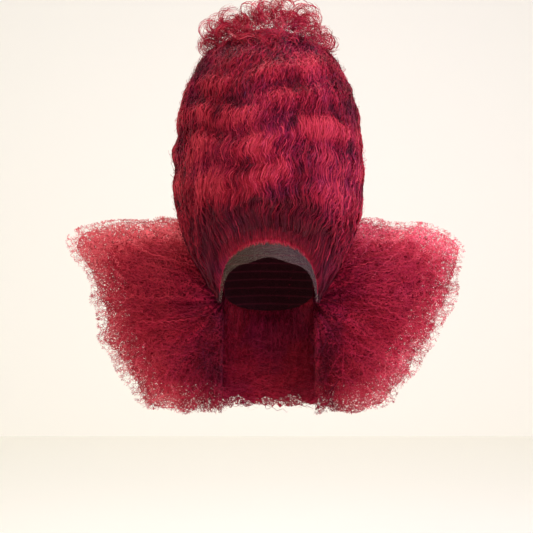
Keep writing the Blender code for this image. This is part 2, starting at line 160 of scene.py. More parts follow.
class Value:
    """A shader socket that takes part in Python expressions."""

    def __init__(self, finish, socket):
        self.finish = finish
        self.socket = socket

    def joined(self, operation, left, right):
        node = self.finish.node("ShaderNodeMath", {"operation": operation}, {0: left, 1: right})
        return Value(self.finish, node.outputs[0])

    def __add__(self, other):
        return self.joined("ADD", self, other)

    __radd__ = __add__

    def __sub__(self, other):
        return self.joined("SUBTRACT", self, other)

    def __rsub__(self, other):
        return self.joined("SUBTRACT", other, self)

    def __mul__(self, other):
        return self.joined("MULTIPLY", self, other)

    __rmul__ = __mul__

    def __pow__(self, other):
        return self.joined("POWER", self, other)

    def sine(self):
        return self.joined("SINE", self, 0.0)

    def kept_in(self, low, high):
        inputs = {"Value": self, "Min": low, "Max": high}
        return Value(self.finish, self.finish.node("ShaderNodeClamp", {}, inputs).outputs[0])


class Finish:
    """One material under construction, with its Principled shader."""

    def __init__(self, name, roughness, specular=0.5, glint=(1.0, 1.0, 1.0)):
        self.material = bpy.data.materials.new(name)
        self.material.use_nodes = True
        self.tree = self.material.node_tree
        self.shader = self.tree.nodes["Principled BSDF"]
        self.fix({"Roughness": roughness, "Specular IOR Level": specular, "Specular Tint": (*glint, 1.0)})

    def fix(self, values):
        """Sets what is the same all over the surface on the shader's own sockets."""
        for name, value in values.items():
            self.shader.inputs[name].default_value = value

    def node(self, kind, settings=None, inputs=None):
        made = self.tree.nodes.new(kind)
        for key, value in (settings or {}).items():
            if key == "stops":
                self.set_stops(made.color_ramp, value)
            else:
                setattr(made, key, value)
        for key, value in (inputs or {}).items():
            self.feed(made.inputs[key], value)
        return made

    def set_stops(self, ramp, stops):
        while len(ramp.elements) < len(stops):
            ramp.elements.new(0.5)
        for element, (place, shade) in zip(ramp.elements, stops):
            element.position = place
            element.color = (*shade, 1.0)

    def feed(self, socket, value):
        if isinstance(value, Value):
            self.tree.links.new(value.socket, socket)
        elif isinstance(value, bpy.types.NodeSocket):
            self.tree.links.new(value, socket)
        else:
            socket.default_value = value

    def attribute(self, name):
        return Value(self, self.node("ShaderNodeAttribute", {"attribute_name": name}).outputs["Fac"])

    def place(self):
        return self.node("ShaderNodeTexCoord").outputs["Object"]

    def noise(self, scale, detail=2.0, stretch=(1.0, 1.0, 1.0), place=None):
        place = self.place() if place is None else place
        mapped = self.node("ShaderNodeMapping", {}, {"Vector": place, "Scale": stretch})
        inputs = {"Vector": mapped.outputs[0], "Scale": scale, "Detail": detail}
        return Value(self, self.node("ShaderNodeTexNoise", {}, inputs).outputs["Fac"])

    def cell_edges(self, scale, randomness=1.0):
        """Distance to the nearest thread of a net."""
        settings = {"feature": "DISTANCE_TO_EDGE"}
        inputs = {"Vector": self.place(), "Scale": scale, "Randomness": randomness}
        return Value(self, self.node("ShaderNodeTexVoronoi", settings, inputs).outputs["Distance"])

    def ramp(self, factor, stops):
        return self.node("ShaderNodeValToRGB", {"stops": stops}, {"Fac": factor}).outputs["Color"]

    def paint(self, socket):
        self.feed(self.shader.inputs["Base Color"], socket)

    def bump(self, height, strength, distance):
        made = self.node("ShaderNodeBump", {}, {"Height": height, "Strength": strength, "Distance": distance})
        self.feed(self.shader.inputs["Normal"], made.outputs["Normal"])


HAIR_GLINT = (1.0, 0.42, 0.46)

# Places of the stops between the deep and the last colour of hair
MIDDLE_STOP, BRIGHT_STOP = 0.46, 0.85

# Threads of a veil: how often they wind, how cover widens them and how sharp their edges are
THREAD_WINDS, THREAD_COVER, THREAD_EDGE = 32.0, 0.50, 6.0


def hair_shade(finish, tone, colours, last, most_plum):
    """Colour from a tone between the red stops, turned to plum in broad soft patches."""
    light = [(BRIGHT_STOP, colours.bright), (1.0, last)]
    red = finish.ramp(tone, [(0.0, colours.deep), (MIDDLE_STOP, colours.middle), *light])
    plum = finish.ramp(tone, [(0.0, colours.deep_plum), (MIDDLE_STOP, colours.plum), *light])
    patches = ((finish.noise(14.0, 2.0) - 0.47) * 5.0).kept_in(0.0, most_plum)
    inputs = {"Factor": patches, "A": red, "B": plum}
    mixed = finish.node("ShaderNodeMix", {"data_type": "RGBA"})
    for name, value in inputs.items():
        finish.feed(next(socket for socket in mixed.inputs if socket.name == name and socket.enabled), value)
    return next(socket for socket in mixed.outputs if socket.enabled)


def strand_finish(name, colours, last, roughness, patch_scale, most_plum):
    """Hair whose tone is stored on each strand, with soft patches over the whole piece."""
    finish = Finish(name, roughness, specular=0.22, glint=HAIR_GLINT)
    tone = finish.attribute("tone") + (finish.noise(patch_scale, 3.0) - 0.5) * 0.30
    finish.paint(hair_shade(finish, tone, colours, last, most_plum))
    return finish.material


def under_finish(name, colours, streaks, most_plum):
    """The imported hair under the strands: fine streaks along the hair, or fluff where streaks is None."""
    finish = Finish(name, 0.7, specular=0.12, glint=HAIR_GLINT)
    if streaks is None:
        fine = finish.noise(190.0, 3.0)
    else:
        flow = finish.node("ShaderNodeUVMap", {"uv_map": "OFBake"}).outputs[0]
        fine = finish.noise(1.0, 3.0, streaks, flow)
    tone = finish.attribute("tone") + (fine - 0.5) * 0.7
    finish.paint(hair_shade(finish, tone, colours, colours.bright, most_plum))
    finish.bump(fine, 0.7, 0.0015)
    return finish.material


def veil_finish(name, colours, last, curl_scale, most_plum, tallness=1.0):
    """A loose layer of tiny curls: winding threads with holes between them, thinner where cover is low."""
    finish = Finish(name, 0.6, specular=0.18, glint=HAIR_GLINT)
    cover = finish.attribute("cover")
    tone = finish.attribute("tone") + (finish.noise(60.0, 2.0) - 0.5) * 0.5
    finish.paint(hair_shade(finish, tone, colours, last, most_plum))
    threads = 0.0
    for share, height in ((1.0, 1.0), (1.5, 1.2), (2.3, 0.8)):
        winding = finish.noise(curl_scale * share, 1.5, (1.0, 1.0, height / tallness)) * THREAD_WINDS
        threads = threads + ((winding.sine() - 1.0 + cover * THREAD_COVER) * THREAD_EDGE).kept_in(0.0, 1.0)
    finish.feed(finish.shader.inputs["Alpha"], threads.kept_in(0.0, 1.0))
    return finish.material


def lace_finish(colours):
    """Sheer lace: fine threads between small clear cells."""
    finish = Finish("lace_net", 0.75, specular=0.2)
    finish.fix({"Base Color": (*colours.lace, 1.0)})
    threads = (1 - finish.cell_edges(950.0, 0.35) * 7.0).kept_in(0.0, 1.0)
    finish.feed(finish.shader.inputs["Alpha"], threads * 0.12 + 0.005)
    return finish.material


def net_finish(colours):
    """Dark stretch net with thin rows of stitched wefts round the cap."""
    finish = Finish("cap_net", 0.85, specular=0.1)
    settings = {"wave_type": "BANDS", "bands_direction": "Z", "wave_profile": "SIN"}
    inputs = {"Vector": finish.place(), "Scale": 26.0, "Distortion": 0.5, "Detail": 1.0}
    rows = Value(finish, finish.node("ShaderNodeTexWave", settings, inputs).outputs["Fac"]) ** 9.0
    threads = 1 - finish.cell_edges(560.0) * 3.2
    dark = tuple(part * 0.15 for part in colours.net)
    pale = tuple(part * 2.6 for part in colours.net)
    shade = threads * 0.45 + rows * 0.40
    finish.paint(finish.ramp(shade, [(0.0, dark), (0.5, colours.net), (1.0, pale)]))
    finish.bump(threads + rows, 0.6, 0.001)
    return finish.material


def plain_finish(name, shade, roughness, glow):
    """An even paint, lit a little by itself so that the backdrop stays pale far from the lamps."""
    finish = Finish(name, roughness, specular=0.2)
    paint = (*shade, 1.0)
    finish.fix({"Base Color": paint, "Emission Color": paint, "Emission Strength": glow})
    return finish.material


# Forms read from the frame


def tree_of(node):
    """A CAD node's faces, for rays."""
    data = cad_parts[node].data
    return BVHTree.FromPolygons(
        [vertex.co.copy() for vertex in data.vertices], [tuple(face.vertices) for face in data.polygons]
    )


def front_and_back(tree, x, z, missed):
    """Depths of a form's front and back faces, both the one given where either isn't met."""
    front = tree.ray_cast(Vector((x, -1.0, z)), Vector((0, 1, 0)), 3.0)
    back = tree.ray_cast(Vector((x, 2.0, z)), Vector((0, -1, 0)), 3.0)
    if front[3] is None or back[3] is None:
        return missed, missed
    return front[0].y, back[0].y


def farthest(good, bad, holds, halvings):
    """The last value from good towards bad at which a test holds."""
    for _ in range(halvings):
        middle = (good + bad) / 2
        if holds(middle):
            good = middle
        else:
            bad = middle
    return good


def softened(grid, passes, wrap):
    """A grid smoothed along its rows, and along its columns too, which close on themselves if wrap."""
    for _ in range(passes):
        grid = np.concatenate([grid[:1], (grid[:-2] + 2 * grid[1:-1] + grid[2:]) / 4, grid[-1:]])
        if wrap:
            grid = (np.roll(grid, 1, 1) + 2 * grid + np.roll(grid, -1, 1)) / 4
        else:
            middle = (grid[:, :-2] + 2 * grid[:, 1:-1] + grid[:, 2:]) / 4
            grid = np.concatenate([grid[:, :1], middle, grid[:, -1:]], 1)
    return grid


def read_grid(grid, row, column, wrap):
    """Values between a grid's points. Rows and columns are given as shares of its size."""
    rows, columns = grid.shape[:2]
    row = np.clip(row, 0, 1) * (rows - 1)
    top = np.minimum(row.astype(int), rows - 2)
    down = (row - top)[..., None]
    if wrap:
        column = (column % 1.0) * columns
        left = column.astype(int) % columns
        right = (left + 1) % columns
        across = (column - np.floor(column))[..., None]
    else:
        column = np.clip(column, 0, 1) * (columns - 1)
        left = np.minimum(column.astype(int), columns - 2)
        right = left + 1
        across = (column - left)[..., None]
    upper = grid[top, left] * (1 - across) + grid[top, right] * across
    lower = grid[top + 1, left] * (1 - across) + grid[top + 1, right] * across
    return upper * (1 - down) + lower * down


def unit(vectors):
    return vectors / np.maximum(np.linalg.norm(vectors, axis=-1, keepdims=True), 1e-9)


def eased(low, high, value):
    """0 up to low and 1 from high, with a smooth step between them."""
    share = np.clip((value - low) / (high - low), 0, 1)
    return share * share * (3 - 2 * share)


class Drift:
    """A smooth wandering field over turns and rows that closes round the tower."""

    def __init__(self, random, most_turns, most_rows, parts=6):
        self.turns = random.integers(1, most_turns + 1, parts) * random.choice([-1, 1], parts)
        self.rows = random.uniform(-most_rows, most_rows, parts)
        self.phases = random.uniform(0, 2 * math.pi, parts)

    def __call__(self, turn, row):
        total = 0.0
        for turns, rows, phase in zip(self.turns, self.rows, self.phases):
            total = total + np.sin(2 * math.pi * (turns * turn + rows * row) + phase)
        return total / math.sqrt(len(self.turns))


Spot = namedtuple("Spot", "point across along normal wave")


class TowerForm:
    """The tower's outer face as a smooth grid, from its rim (row 0) to its top (row 1), round by column."""

    ROWS, COLUMNS = 180, 216
    EYE_SHARE = 0.456  # height of the point that sees the whole face from inside
    WAVE_DEPTH = 0.0032  # that counts as a full crest
    BROAD_PASSES = 60  # of smoothing, which leave the face without its waves
    SIDE_CALM = 0.62  # share of the waves' depth lost at both sides
    # Share of the lumps added to the wave, which paints light on the crests and shade in the troughs
    LUMPS_IN_TONE = 0.28
    LUMPS_FROM = (0.08, 0.26)  # rows over which the lumps begin

    def __init__(self, hair, random):
        self.tree = tree_of("beehive")
        middle = (TOWER_LOW + TOWER_HIGH) / 2
        height = TOWER_LOW.z + (TOWER_HIGH.z - TOWER_LOW.z) * self.EYE_SHARE
        self.eye = Vector((0.0, middle.y, height))
        turns = np.arange(self.COLUMNS) / self.COLUMNS
        rims = np.array([self.rim_rise(2 * math.pi * turn) for turn in turns])
        rims = (np.roll(rims, 1) + 2 * rims + np.roll(rims, -1)) / 4
        rise = rims + (math.pi / 2 - rims) * np.linspace(0, 1, self.ROWS)[:, None]
        far = np.zeros((self.ROWS, self.COLUMNS))
        for column, turn in enumerate(turns):
            last = 0.0
            for row in reversed(range(self.ROWS)):
                last = self.next_reach(2 * math.pi * turn, rise[row, column], last) or last
                far[row, column] = last
        far[-1] = far[-1].mean()
        far = softened(far, 2, True)
        broad = softened(far, self.BROAD_PASSES, True)
        wave = softened(far - broad, 1, True)
        rows = np.linspace(0, 1, self.ROWS)[:, None]
        azimuth = 2 * math.pi * turns[None, :]
        lumps = Drift(random, 11, 6.0, 9)(turns[None, :], rows) * eased(*self.LUMPS_FROM, rows)
        relief = hair.relief * (1 - self.SIDE_CALM * np.sin(azimuth) ** 4)
        far = broad + wave * relief + hair.lumps * lumps
        # The wave is kept only for the tone: painted light on the crests and painted shade in the troughs
        wave = np.clip(wave / self.WAVE_DEPTH, -1, 1) + self.LUMPS_IN_TONE * lumps
        far, rise, wave = self.evened(broad, far, rise, wave)
        points = self.spokes(azimuth, rise, far)
        across = (np.roll(points, -1, 1) - np.roll(points, 1, 1)) * self.COLUMNS / 2
        along = np.gradient(points, axis=0) * (self.ROWS - 1)
        across[-1] = across[-2]
        normal = unit(np.cross(across, along))
        self.grid = np.concatenate([points, across, along, normal, wave[..., None]], -1)

    def spokes(self, azimuth, rise, far):
        offsets = [np.cos(rise) * np.sin(azimuth), -np.cos(rise) * np.cos(azimuth), np.sin(rise)]
        return np.array(self.eye) + np.stack(offsets, -1) * far[..., None]

    def evened(self, broad, *grids):
        """The grids with their rows spread evenly along the face from rim to top."""
        rise = grids[1]
        level = self.spokes(np.zeros(self.COLUMNS)[None, :], rise, broad)
        steps = np.linalg.norm(np.diff(level, axis=0), axis=-1)
        arc = np.concatenate([np.zeros((1, self.COLUMNS)), np.cumsum(steps, 0)])
        made = [np.zeros_like(grid) for grid in grids]
        for column in range(self.COLUMNS):
            places = np.linspace(0, arc[-1, column], self.ROWS)
            for old, new in zip(grids, made):
                new[:, column] = np.interp(places, arc[:, column], old[:, column])
        return made

    def reach(self, azimuth, rise):
        spoke = Vector(
            (math.cos(rise) * math.sin(azimuth), -math.cos(rise) * math.cos(azimuth), math.sin(rise))
        )
        hit = self.tree.ray_cast(self.eye + spoke, -spoke, 1.0)
        return None if hit[3] is None else 1.0 - hit[3]

    def next_reach(self, azimuth, rise, last):
        """The reach beside one already found, or None where the ray passes the outer face by."""
        found = self.reach(azimuth, rise)
        return None if found is None or found < last * 0.9 else found

    def rim_rise(self, azimuth):
        """The lowest angle at which the outer face is still seen."""
        step = math.radians(1.5)
        good, last = 0.0, self.reach(azimuth, 0.0)
        while good > -math.radians(80):
            found = self.next_reach(azimuth, good - step, last)
            if found is None:
                break
            good, last = good - step, found
        return farthest(good, good - step, lambda rise: self.next_reach(azimuth, rise, last) is not None, 6)

    def at(self, row, turn):
        """Point, sideways and upward spans, normal and wave at rows and turns from 0 to 1."""
        found = read_grid(self.grid, row, turn, True)
        return Spot(*(found[..., first : first + 3] for first in (0, 3, 6, 9)), found[..., 12])


class WingForm:
    """A wing's front and back faces by angle about its hub (column) and share of its reach (row)."""

    ROWS, COLUMNS = 60, 90
    SWEEP = math.pi * 0.985

    def __init__(self, node, side):
        self.side = side
        self.tree = tree_of(node)
        low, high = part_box(node)
        self.top = high.z
        inner = low.x if side > 0 else high.x
        self.hub = np.array([inner, (low.y + high.y) / 2, NAPE_LOW.z + 0.16])
        self.reach = np.zeros(self.COLUMNS)
        faces = np.zeros((self.ROWS, self.COLUMNS, 2))
        for column in range(self.COLUMNS):
            rise = self.SWEEP * (column / (self.COLUMNS - 1) - 0.5)
            self.reach[column] = self.rim(rise)
            for row in range(self.ROWS):
                share = min(row / (self.ROWS - 1), 0.985)
                faces[row, column] = self.depths(rise, self.reach[column] * share)
        self.reach = softened(np.tile(self.reach, (3, 1)), 2, False)[1]
        self.faces = softened(faces, 9, False)

    def depths(self, rise, out):
        x = self.hub[0] + self.side * (out * math.cos(rise) + 0.0005)
        return front_and_back(self.tree, x, self.hub[2] + out * math.sin(rise), self.hub[1])

    def met(self, rise, out):
        front, back = self.depths(rise, out)
        return back > front

    def rim(self, rise):
        """The farthest distance from the hub at which the wing is met."""
        step, outside = 0.004, 0.30
        while outside > step and not self.met(rise, outside - step):
            outside -= step
        return farthest(outside - step, outside, lambda out: self.met(rise, out), 5)

    def reach_at(self, turn):
        return np.interp(np.clip(turn, 0, 1) * (self.COLUMNS - 1), np.arange(self.COLUMNS), self.reach)

    def along(self, turn, share):
        """Distance out from the root and height at turns from 0, straight down, to 1, straight up."""
        rise = self.SWEEP * (turn - 0.5)
        out = self.reach_at(turn) * share
        return out * np.cos(rise), self.hub[2] + out * np.sin(rise)

    def turn_and_share(self, out, height):
        up = height - self.hub[2]
        turn = np.arctan2(up, np.maximum(out, 1e-4)) / self.SWEEP + 0.5
        return turn, np.hypot(out, up) / self.reach_at(turn)

    def at(self, out, height, depth):
        """Points at distances out from the root, heights, and depths from -1, the front, to 1, the back."""
        turn, share = self.turn_and_share(out, height)
        faces = read_grid(self.faces, np.minimum(share, 0.985), turn, False)
        middle, half = faces.mean(-1), (faces[..., 1] - faces[..., 0]) / 2
        return np.stack([self.hub[0] + self.side * out, middle + depth * half, height], -1)


class NapeForm:
    """The nape's front and back faces by height (row, 0 at the top) and breadth (column)."""

    ROWS, COLUMNS = 44, 34

    def __init__(self):
        tree = tree_of("nape_frizz")
        faces = np.zeros((self.ROWS, self.COLUMNS, 2))
        middle = (NAPE_LOW.y + NAPE_HIGH.y) / 2
        for row in range(self.ROWS):
            z = NAPE_HIGH.z + (NAPE_LOW.z - NAPE_HIGH.z) * (0.012 + 0.976 * row / (self.ROWS - 1))
            for column in range(self.COLUMNS):
                x = NAPE_LOW.x + (NAPE_HIGH.x - NAPE_LOW.x) * (0.01 + 0.98 * column / (self.COLUMNS - 1))
                faces[row, column] = front_and_back(tree, x, z, middle)
        self.faces = softened(faces, 1, False)

    def at(self, down, across, depth):
        faces = read_grid(self.faces, down, across, False)
        middle, half = faces.mean(-1), (faces[..., 1] - faces[..., 0]) / 2
        x = NAPE_LOW.x + (NAPE_HIGH.x - NAPE_LOW.x) * across
        z = NAPE_HIGH.z + (NAPE_LOW.z - NAPE_HIGH.z) * down
        return np.stack([x, middle + depth * half, z], -1)


# Strand meshes


class Strands:
    """Flat tapering strands gathered into one mesh."""

    def __init__(self, name):
        self.name = name
        self.batches = []

    def add(self, paths, faces, width, tone, taper=0.35):
        """Strands × points × 3 paths, the way each strand's flat side looks, and its width and tone."""
        points = paths.shape[1]
        along = np.gradient(paths, axis=1)
        side = unit(np.cross(along, faces))
        share = np.linspace(0, 1, points)
        profile = np.minimum(1, np.minimum(share / 0.12 + taper, (1 - share) / 0.35 + taper * 0.5))
        half = (np.reshape(width, (-1, 1)) * profile[None, :] / 2)[..., None]
        corners = np.stack([paths - side * half, paths + side * half], 2)
        tones = np.broadcast_to(np.reshape(tone, (len(paths), -1)), (len(paths), points))
        self.batches.append((corners, tones))

    def build(self, material):
        vertices, quads, tones, cells = [], [], [], []
        base = 0
        total = sum(len(corners) for corners, _ in self.batches)
        columns = max(1, round(math.sqrt(total / 12)))
        rows = math.ceil(total / columns)
        first = 0
        for corners, tone in self.batches:
            strands, points = corners.shape[:2]
            index = base + np.arange(strands * points * 2).reshape(strands, points, 2)
            quad = np.stack([index[:, :-1, 0], index[:, :-1, 1], index[:, 1:, 1], index[:, 1:, 0]], -1)
            cell = first + np.arange(strands)
            left, low = (cell % columns) / columns, (cell // columns) / rows
            share = np.linspace(0.04, 0.96, points)
            u = left[:, None] + share[None, :] / columns
            v = low[:, None] + np.array([0.2, 0.8])[None, :] / rows
            uv = np.stack(
                [np.broadcast_to(u[:, :, None], index.shape), np.broadcast_to(v[:, None, :], index.shape)], -1
            )
            vertices.append(corners.reshape(-1, 3))
            quads.append(quad.reshape(-1, 4))
            tones.append(np.repeat(tone.reshape(-1), 2))
            cells.append(uv.reshape(-1, 2))
            base += index.size
            first += strands
        vertices, quads = np.concatenate(vertices), np.concatenate(quads)
        tones, cells = np.concatenate(tones), np.concatenate(cells)
        data = bpy.data.meshes.new(self.name)
        data.vertices.add(len(vertices))
        data.vertices.foreach_set("co", vertices.astype(np.float32).ravel())
        data.loops.add(quads.size)
        data.loops.foreach_set("vertex_index", quads.astype(np.int32).ravel())
        data.polygons.add(len(quads))
        data.polygons.foreach_set("loop_start", np.arange(0, quads.size, 4, dtype=np.int32))
        data.update(calc_edges=True)
        data.shade_smooth()
        layer = data.uv_layers.new(name="OFBake")
        layer.data.foreach_set("uv", cells[quads.ravel()].astype(np.float32).ravel())
        data.attributes.new("tone", "FLOAT", "POINT").data.foreach_set("value", tones.astype(np.float32))
        data.validate()
        data.materials.append(material)
        return placed(self.name, data)


def placed(name, data):
    """A new piece of the wig from its mesh."""
    thing = bpy.data.objects.new(name, data)
    bpy.context.scene.collection.objects.link(thing)
    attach(thing, ROOT)
    return thing


def sheet_mesh(name, rows, columns, place, tone, cover, material, filled=False):
    """A grid laid on a form, joined where its edges meet, with a tone and a cover on each point."""
    marks = {"tone": tone, "cover": cover}
    mesh = bmesh.new()
    flow = mesh.loops.layers.uv.new("OFBake")
    stores = [mesh.verts.layers.float.new(mark) for mark in marks]
    bmesh.ops.create_grid(mesh, x_segments=columns, y_segments=rows, size=0.5)
    shares = np.array([vertex.co[:2] for vertex in mesh.verts]) + 0.5
    for face in mesh.faces:
        for loop in face.loops:
            loop[flow].uv = (loop.vert.co.x + 0.5, loop.vert.co.y + 0.5)
    points = place(shares[:, 1], shares[:, 0])
    for vertex, point in zip(mesh.verts, points):
        vertex.co = point
    for store, values in zip(stores, marks.values()):
        for vertex, value in zip(mesh.verts, values(shares[:, 1], shares[:, 0])):
            vertex[store] = value
    bmesh.ops.remove_doubles(mesh, verts=mesh.verts, dist=1e-5)
    if filled:
        bmesh.ops.holes_fill(mesh, edges=[edge for edge in mesh.edges if edge.is_boundary], sides=0)
    bmesh.ops.recalc_face_normals(mesh, faces=mesh.faces)
    data = bpy.data.meshes.new(name)
    mesh.to_mesh(data)
    mesh.free()
    data.shade_smooth()
    data.materials.append(material)
    return placed(name, data)


def curled(paths, step, radius, pitch, random):
    """Paths turned into tight curls: each a helix about its path, of uneven radius and pitch."""
    strands, points = paths.shape[:2]
    along = unit(np.gradient(paths, axis=1))
    turn = 2 * math.pi * step / (pitch * random.uniform(0.75, 1.35, (strands, 1)))
    phase = random.uniform(0, 2 * math.pi, (strands, 1)) + np.cumsum(
        np.broadcast_to(turn, (strands, points)) * random.uniform(0.8, 1.2, (strands, points)), 1
    )
    first = unit(np.cross(along, random.normal(size=(strands, 1, 3))))
    second = unit(np.cross(along, first))
    size = (radius * random.uniform(0.5, 1.3, (strands, 1)))[..., None]
    flat = random.uniform(0.35, 1.0, (strands, 1, 1))
    return paths + size * (first * np.cos(phase)[..., None] + second * flat * np.sin(phase)[..., None])


def any_way(strands, random, depth=1.0):
    """Random ways for flat sides to look, turned more to the front and back by a factor."""
    return random.normal(size=(strands, 1, 3)) * (1.0, depth, 1.0)


# Tower


class TowerCombing:
    """How the hair is combed over the tower: its locks, swings, crimps and tones, which hold painted light
    and shade.
    """

    # Rows over which each of these ends or begins
    LOW_BAND = (0.13, 0.27)
    TOP_BAND = (0.48, 0.66)
    CRESTS_FADE = (0.50, 0.64)
    STRAIGHT_ROOTS = (0.05, 0.20)
    CURLY_ENDS = (0.45, 0.85)
    # Painted shade in the hollow over the middle of the hairline
    HOLLOW_ROW, HOLLOW_SPREAD, HOLLOW_FROM = 0.07, 0.05, 0.90
    # Tone of plain hair, and how much each of these makes it lighter or darker
    # CREST, CREST_OF_PATCH and SIDE paint light on the crests and sides; PATCH varies the tone in random
    # patches
    PLAIN, CREST, CREST_OF_PATCH, PATCH, SIDE = 0.43, 0.27, 0.10, 0.17, 0.07
    # POCKET, LOW and HOLLOW paint shade in the pockets, the low band under the swell and the hollow; TOP
    # darkens the top
    POCKET, LOW, HOLLOW, TOP = 0.42, 0.47, 0.26, 0.22
    SUNK = 0.0028  # depth of a strand's root and tip below the face

    def __init__(self, form, hair, random):
        self.form, self.hair = form, hair
        self.swing_drift = Drift(random, 5, 2.0)
        self.crimp_drift = Drift(random, 9, 3.0)
        self.lock_drift = Drift(random, 7, 3.2, 8)
        self.patch_drift = Drift(random, 12, 7.0, 9)
        self.pocket_drift = Drift(random, 26, 11.0, 10)

    def lock(self, turn, row):
        """0 in the groove between two locks, 1 on the middle of a lock."""
        wander = 1.1 * self.lock_drift(turn, row)
        return np.abs(np.sin(math.pi * (self.hair.locks * turn / 2 + wander)))

    def tone(self, turn, row, wave):
        """From 0, the deepest red, to 1, the brightest, with painted light on the crests and sides and
        painted shade in the troughs, the grooves between locks, the pockets, the low band and the hollow.
        """
        patch = self.patch_drift(turn, row)
        low_band = 1 - eased(*self.LOW_BAND, row + 0.025 * patch)
        middle = np.clip((np.cos(2 * math.pi * turn) - self.HOLLOW_FROM) / (1 - self.HOLLOW_FROM), 0, 1)
        hollow = middle * np.exp(-(((row - self.HOLLOW_ROW) / self.HOLLOW_SPREAD) ** 2))
        crest = wave * (1 - 0.85 * low_band) * (1 - 0.35 * eased(*self.CRESTS_FADE, row))
        locks = (0.20 - 0.10 * low_band) * (self.lock(turn, row) - 0.6)
        pocket = eased(0.9, 1.8, self.pocket_drift(turn, row)) * (1 - 0.6 * low_band)
        side = np.sin(2 * math.pi * turn) ** 4 * (1 - 1.6 * low_band)
        tone = self.PLAIN + crest * (self.CREST + self.CREST_OF_PATCH * patch) + locks + self.SIDE * side
        tone = tone + self.PATCH * patch * (1 - 0.5 * low_band) - self.POCKET * pocket
        return tone - self.LOW * low_band - self.HOLLOW * hollow - self.TOP * eased(*self.TOP_BAND, row)

    def paths(self, turn, row, points, length, lift, random, crimped=1.0, root_sink=None):
        """Strands combed upward from a turn and row, the way their flat sides look, and their tones."""
        count = len(turn)
        hair = self.hair
        share = np.linspace(0, 1, points)[None, :]
        arc = share * length[:, None]
        span = np.linalg.norm(self.form.at(row, turn).along, axis=-1)
        rows = row[:, None] + arc / span[:, None]
        rows = np.where(rows > 0.995, 1.99 - rows, rows)
        turns = np.broadcast_to(turn[:, None], rows.shape)
        level = rows * span[:, None]
        swing_phase = 2 * math.pi * level / hair.swing_pitch + 2.4 * self.swing_drift(turns, rows)
        crimp_phase = 2 * math.pi * level / hair.crimp_pitch + 2.8 * self.crimp_drift(turns, rows)
        crimp_phase = crimp_phase + random.normal(0, 0.6, (count, 1))
        low_band = 1 - eased(*self.STRAIGHT_ROOTS, rows)
        curly = 1 + 1.1 * eased(*self.CURLY_ENDS, rows)
        crimp = hair.crimp * crimped * (1 - 0.6 * low_band) * curly * random.uniform(0.6, 1.6, (count, 1))
        sideways = hair.swing * (1 - 0.5 * low_band) * np.sin(swing_phase)
        sideways = sideways + crimp * np.sin(crimp_phase)
        sideways = sideways + random.normal(0, 0.014, (count, 1)) * share * (1 - low_band)
        across_span = np.maximum(np.linalg.norm(self.form.at(rows, turns).across, axis=-1), 0.12)
        turns = turns + sideways / across_span
        spot = self.form.at(rows, turns)
        sink = np.ones((count, 1)) if root_sink is None else root_sink[:, None]
        starts = np.maximum(np.clip(share / 0.10, 0, 1), 1 - sink)
        ends = np.minimum(starts, np.clip((1 - share) / 0.14, 0, 1))
        proud = lift[:, None] + hair.lock_lift * (self.lock(turns, rows) - 0.5)
        proud = proud + 0.8 * crimp * np.cos(crimp_phase)
        proud = proud * ends - self.SUNK * (1 - ends)
        tilt = random.normal(0, 0.55, (count, 1, 1))
        faces = unit(spot.normal + unit(spot.across) * tilt)
        return spot.point + spot.normal * proud[..., None], faces, self.tone(turns, rows, spot.wave)


RIM_ROW = 0.012  # first row that sheets are laid on and last one that strands start on at the rim
TUCK_ROW, TUCK_DEPTH = 0.014, 0.0024  # rows over which a sheet turns in along the hairline, and how far


def tower_shell(name, form, combing, rows, columns, lift, shade, material):
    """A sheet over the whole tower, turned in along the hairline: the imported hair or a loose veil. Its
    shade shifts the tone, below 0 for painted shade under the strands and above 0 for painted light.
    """

    def place(row, turn):
        spot = form.at(np.maximum(row, RIM_ROW), turn)
        tucked = np.clip((TUCK_ROW - row) / TUCK_ROW, 0, 1)
        return spot.point + spot.normal * (lift - TUCK_DEPTH * tucked)[:, None]

    def tone_of(row, turn):
        return combing.tone(turn, row, form.at(row, turn).wave) + shade

    def cover_of(row, turn):
        return 0.06 + 0.26 * eased(0.12, 0.40, row) + 0.20 * eased(0.6, 0.9, row)

    return sheet_mesh(name, rows, columns, place, tone_of, cover_of, material)


# share of the strands, points in each, share that starts at the hairline and the last row for the rest
TOWER_BATCHES = ((0.40, 56, 0.55, 0.50), (0.60, 38, 0.16, 0.88))

# tones added to a strand, and the share of the strands that get each: the lightest are painted glints, the
# darkest vary the tone at random
GLINTS = [-0.28, 0.0, 0.32]
GLINT_SHARES = [0.12, 0.75, 0.13]
# Painted light: strands that stand over the face are made lighter and sunk ones darker
TONE_OF_LIFT = 28  # tone added for each metre that a strand stands over the face


def tower_part(name, combing, hair, random, middle, breadth, strands, material):
    """The strands over one part of the tower, by the turn of its middle and its breadth in turns."""
    made = Strands(name)
    for share, points, rim_share, last_row in TOWER_BATCHES:
        count = int(strands * share)
        turn = (middle + random.uniform(-breadth / 2, breadth / 2, count)) % 1.0
        at_rim = random.random(count) < rim_share
        row = np.where(at_rim, random.uniform(0.0, RIM_ROW, count), random.uniform(0.03, last_row, count))
        length = hair.step * (points - 1) * random.uniform(0.8, 1.15, count)
        lift = random.uniform(-0.0009, 0.0022, count)
        sink = np.where(at_rim, 0.55, 1.0)
        paths, faces, tone = combing.paths(turn, row, points, length, lift, random, root_sink=sink)
        glint = random.choice(GLINTS, (count, 1), p=GLINT_SHARES)
        tone = tone + random.normal(0, 0.15, (count, 1)) + TONE_OF_LIFT * lift[:, None] + glint
        made.add(paths, faces, hair.width * random.uniform(0.6, 1.25, count), tone)
    return made.build(material)


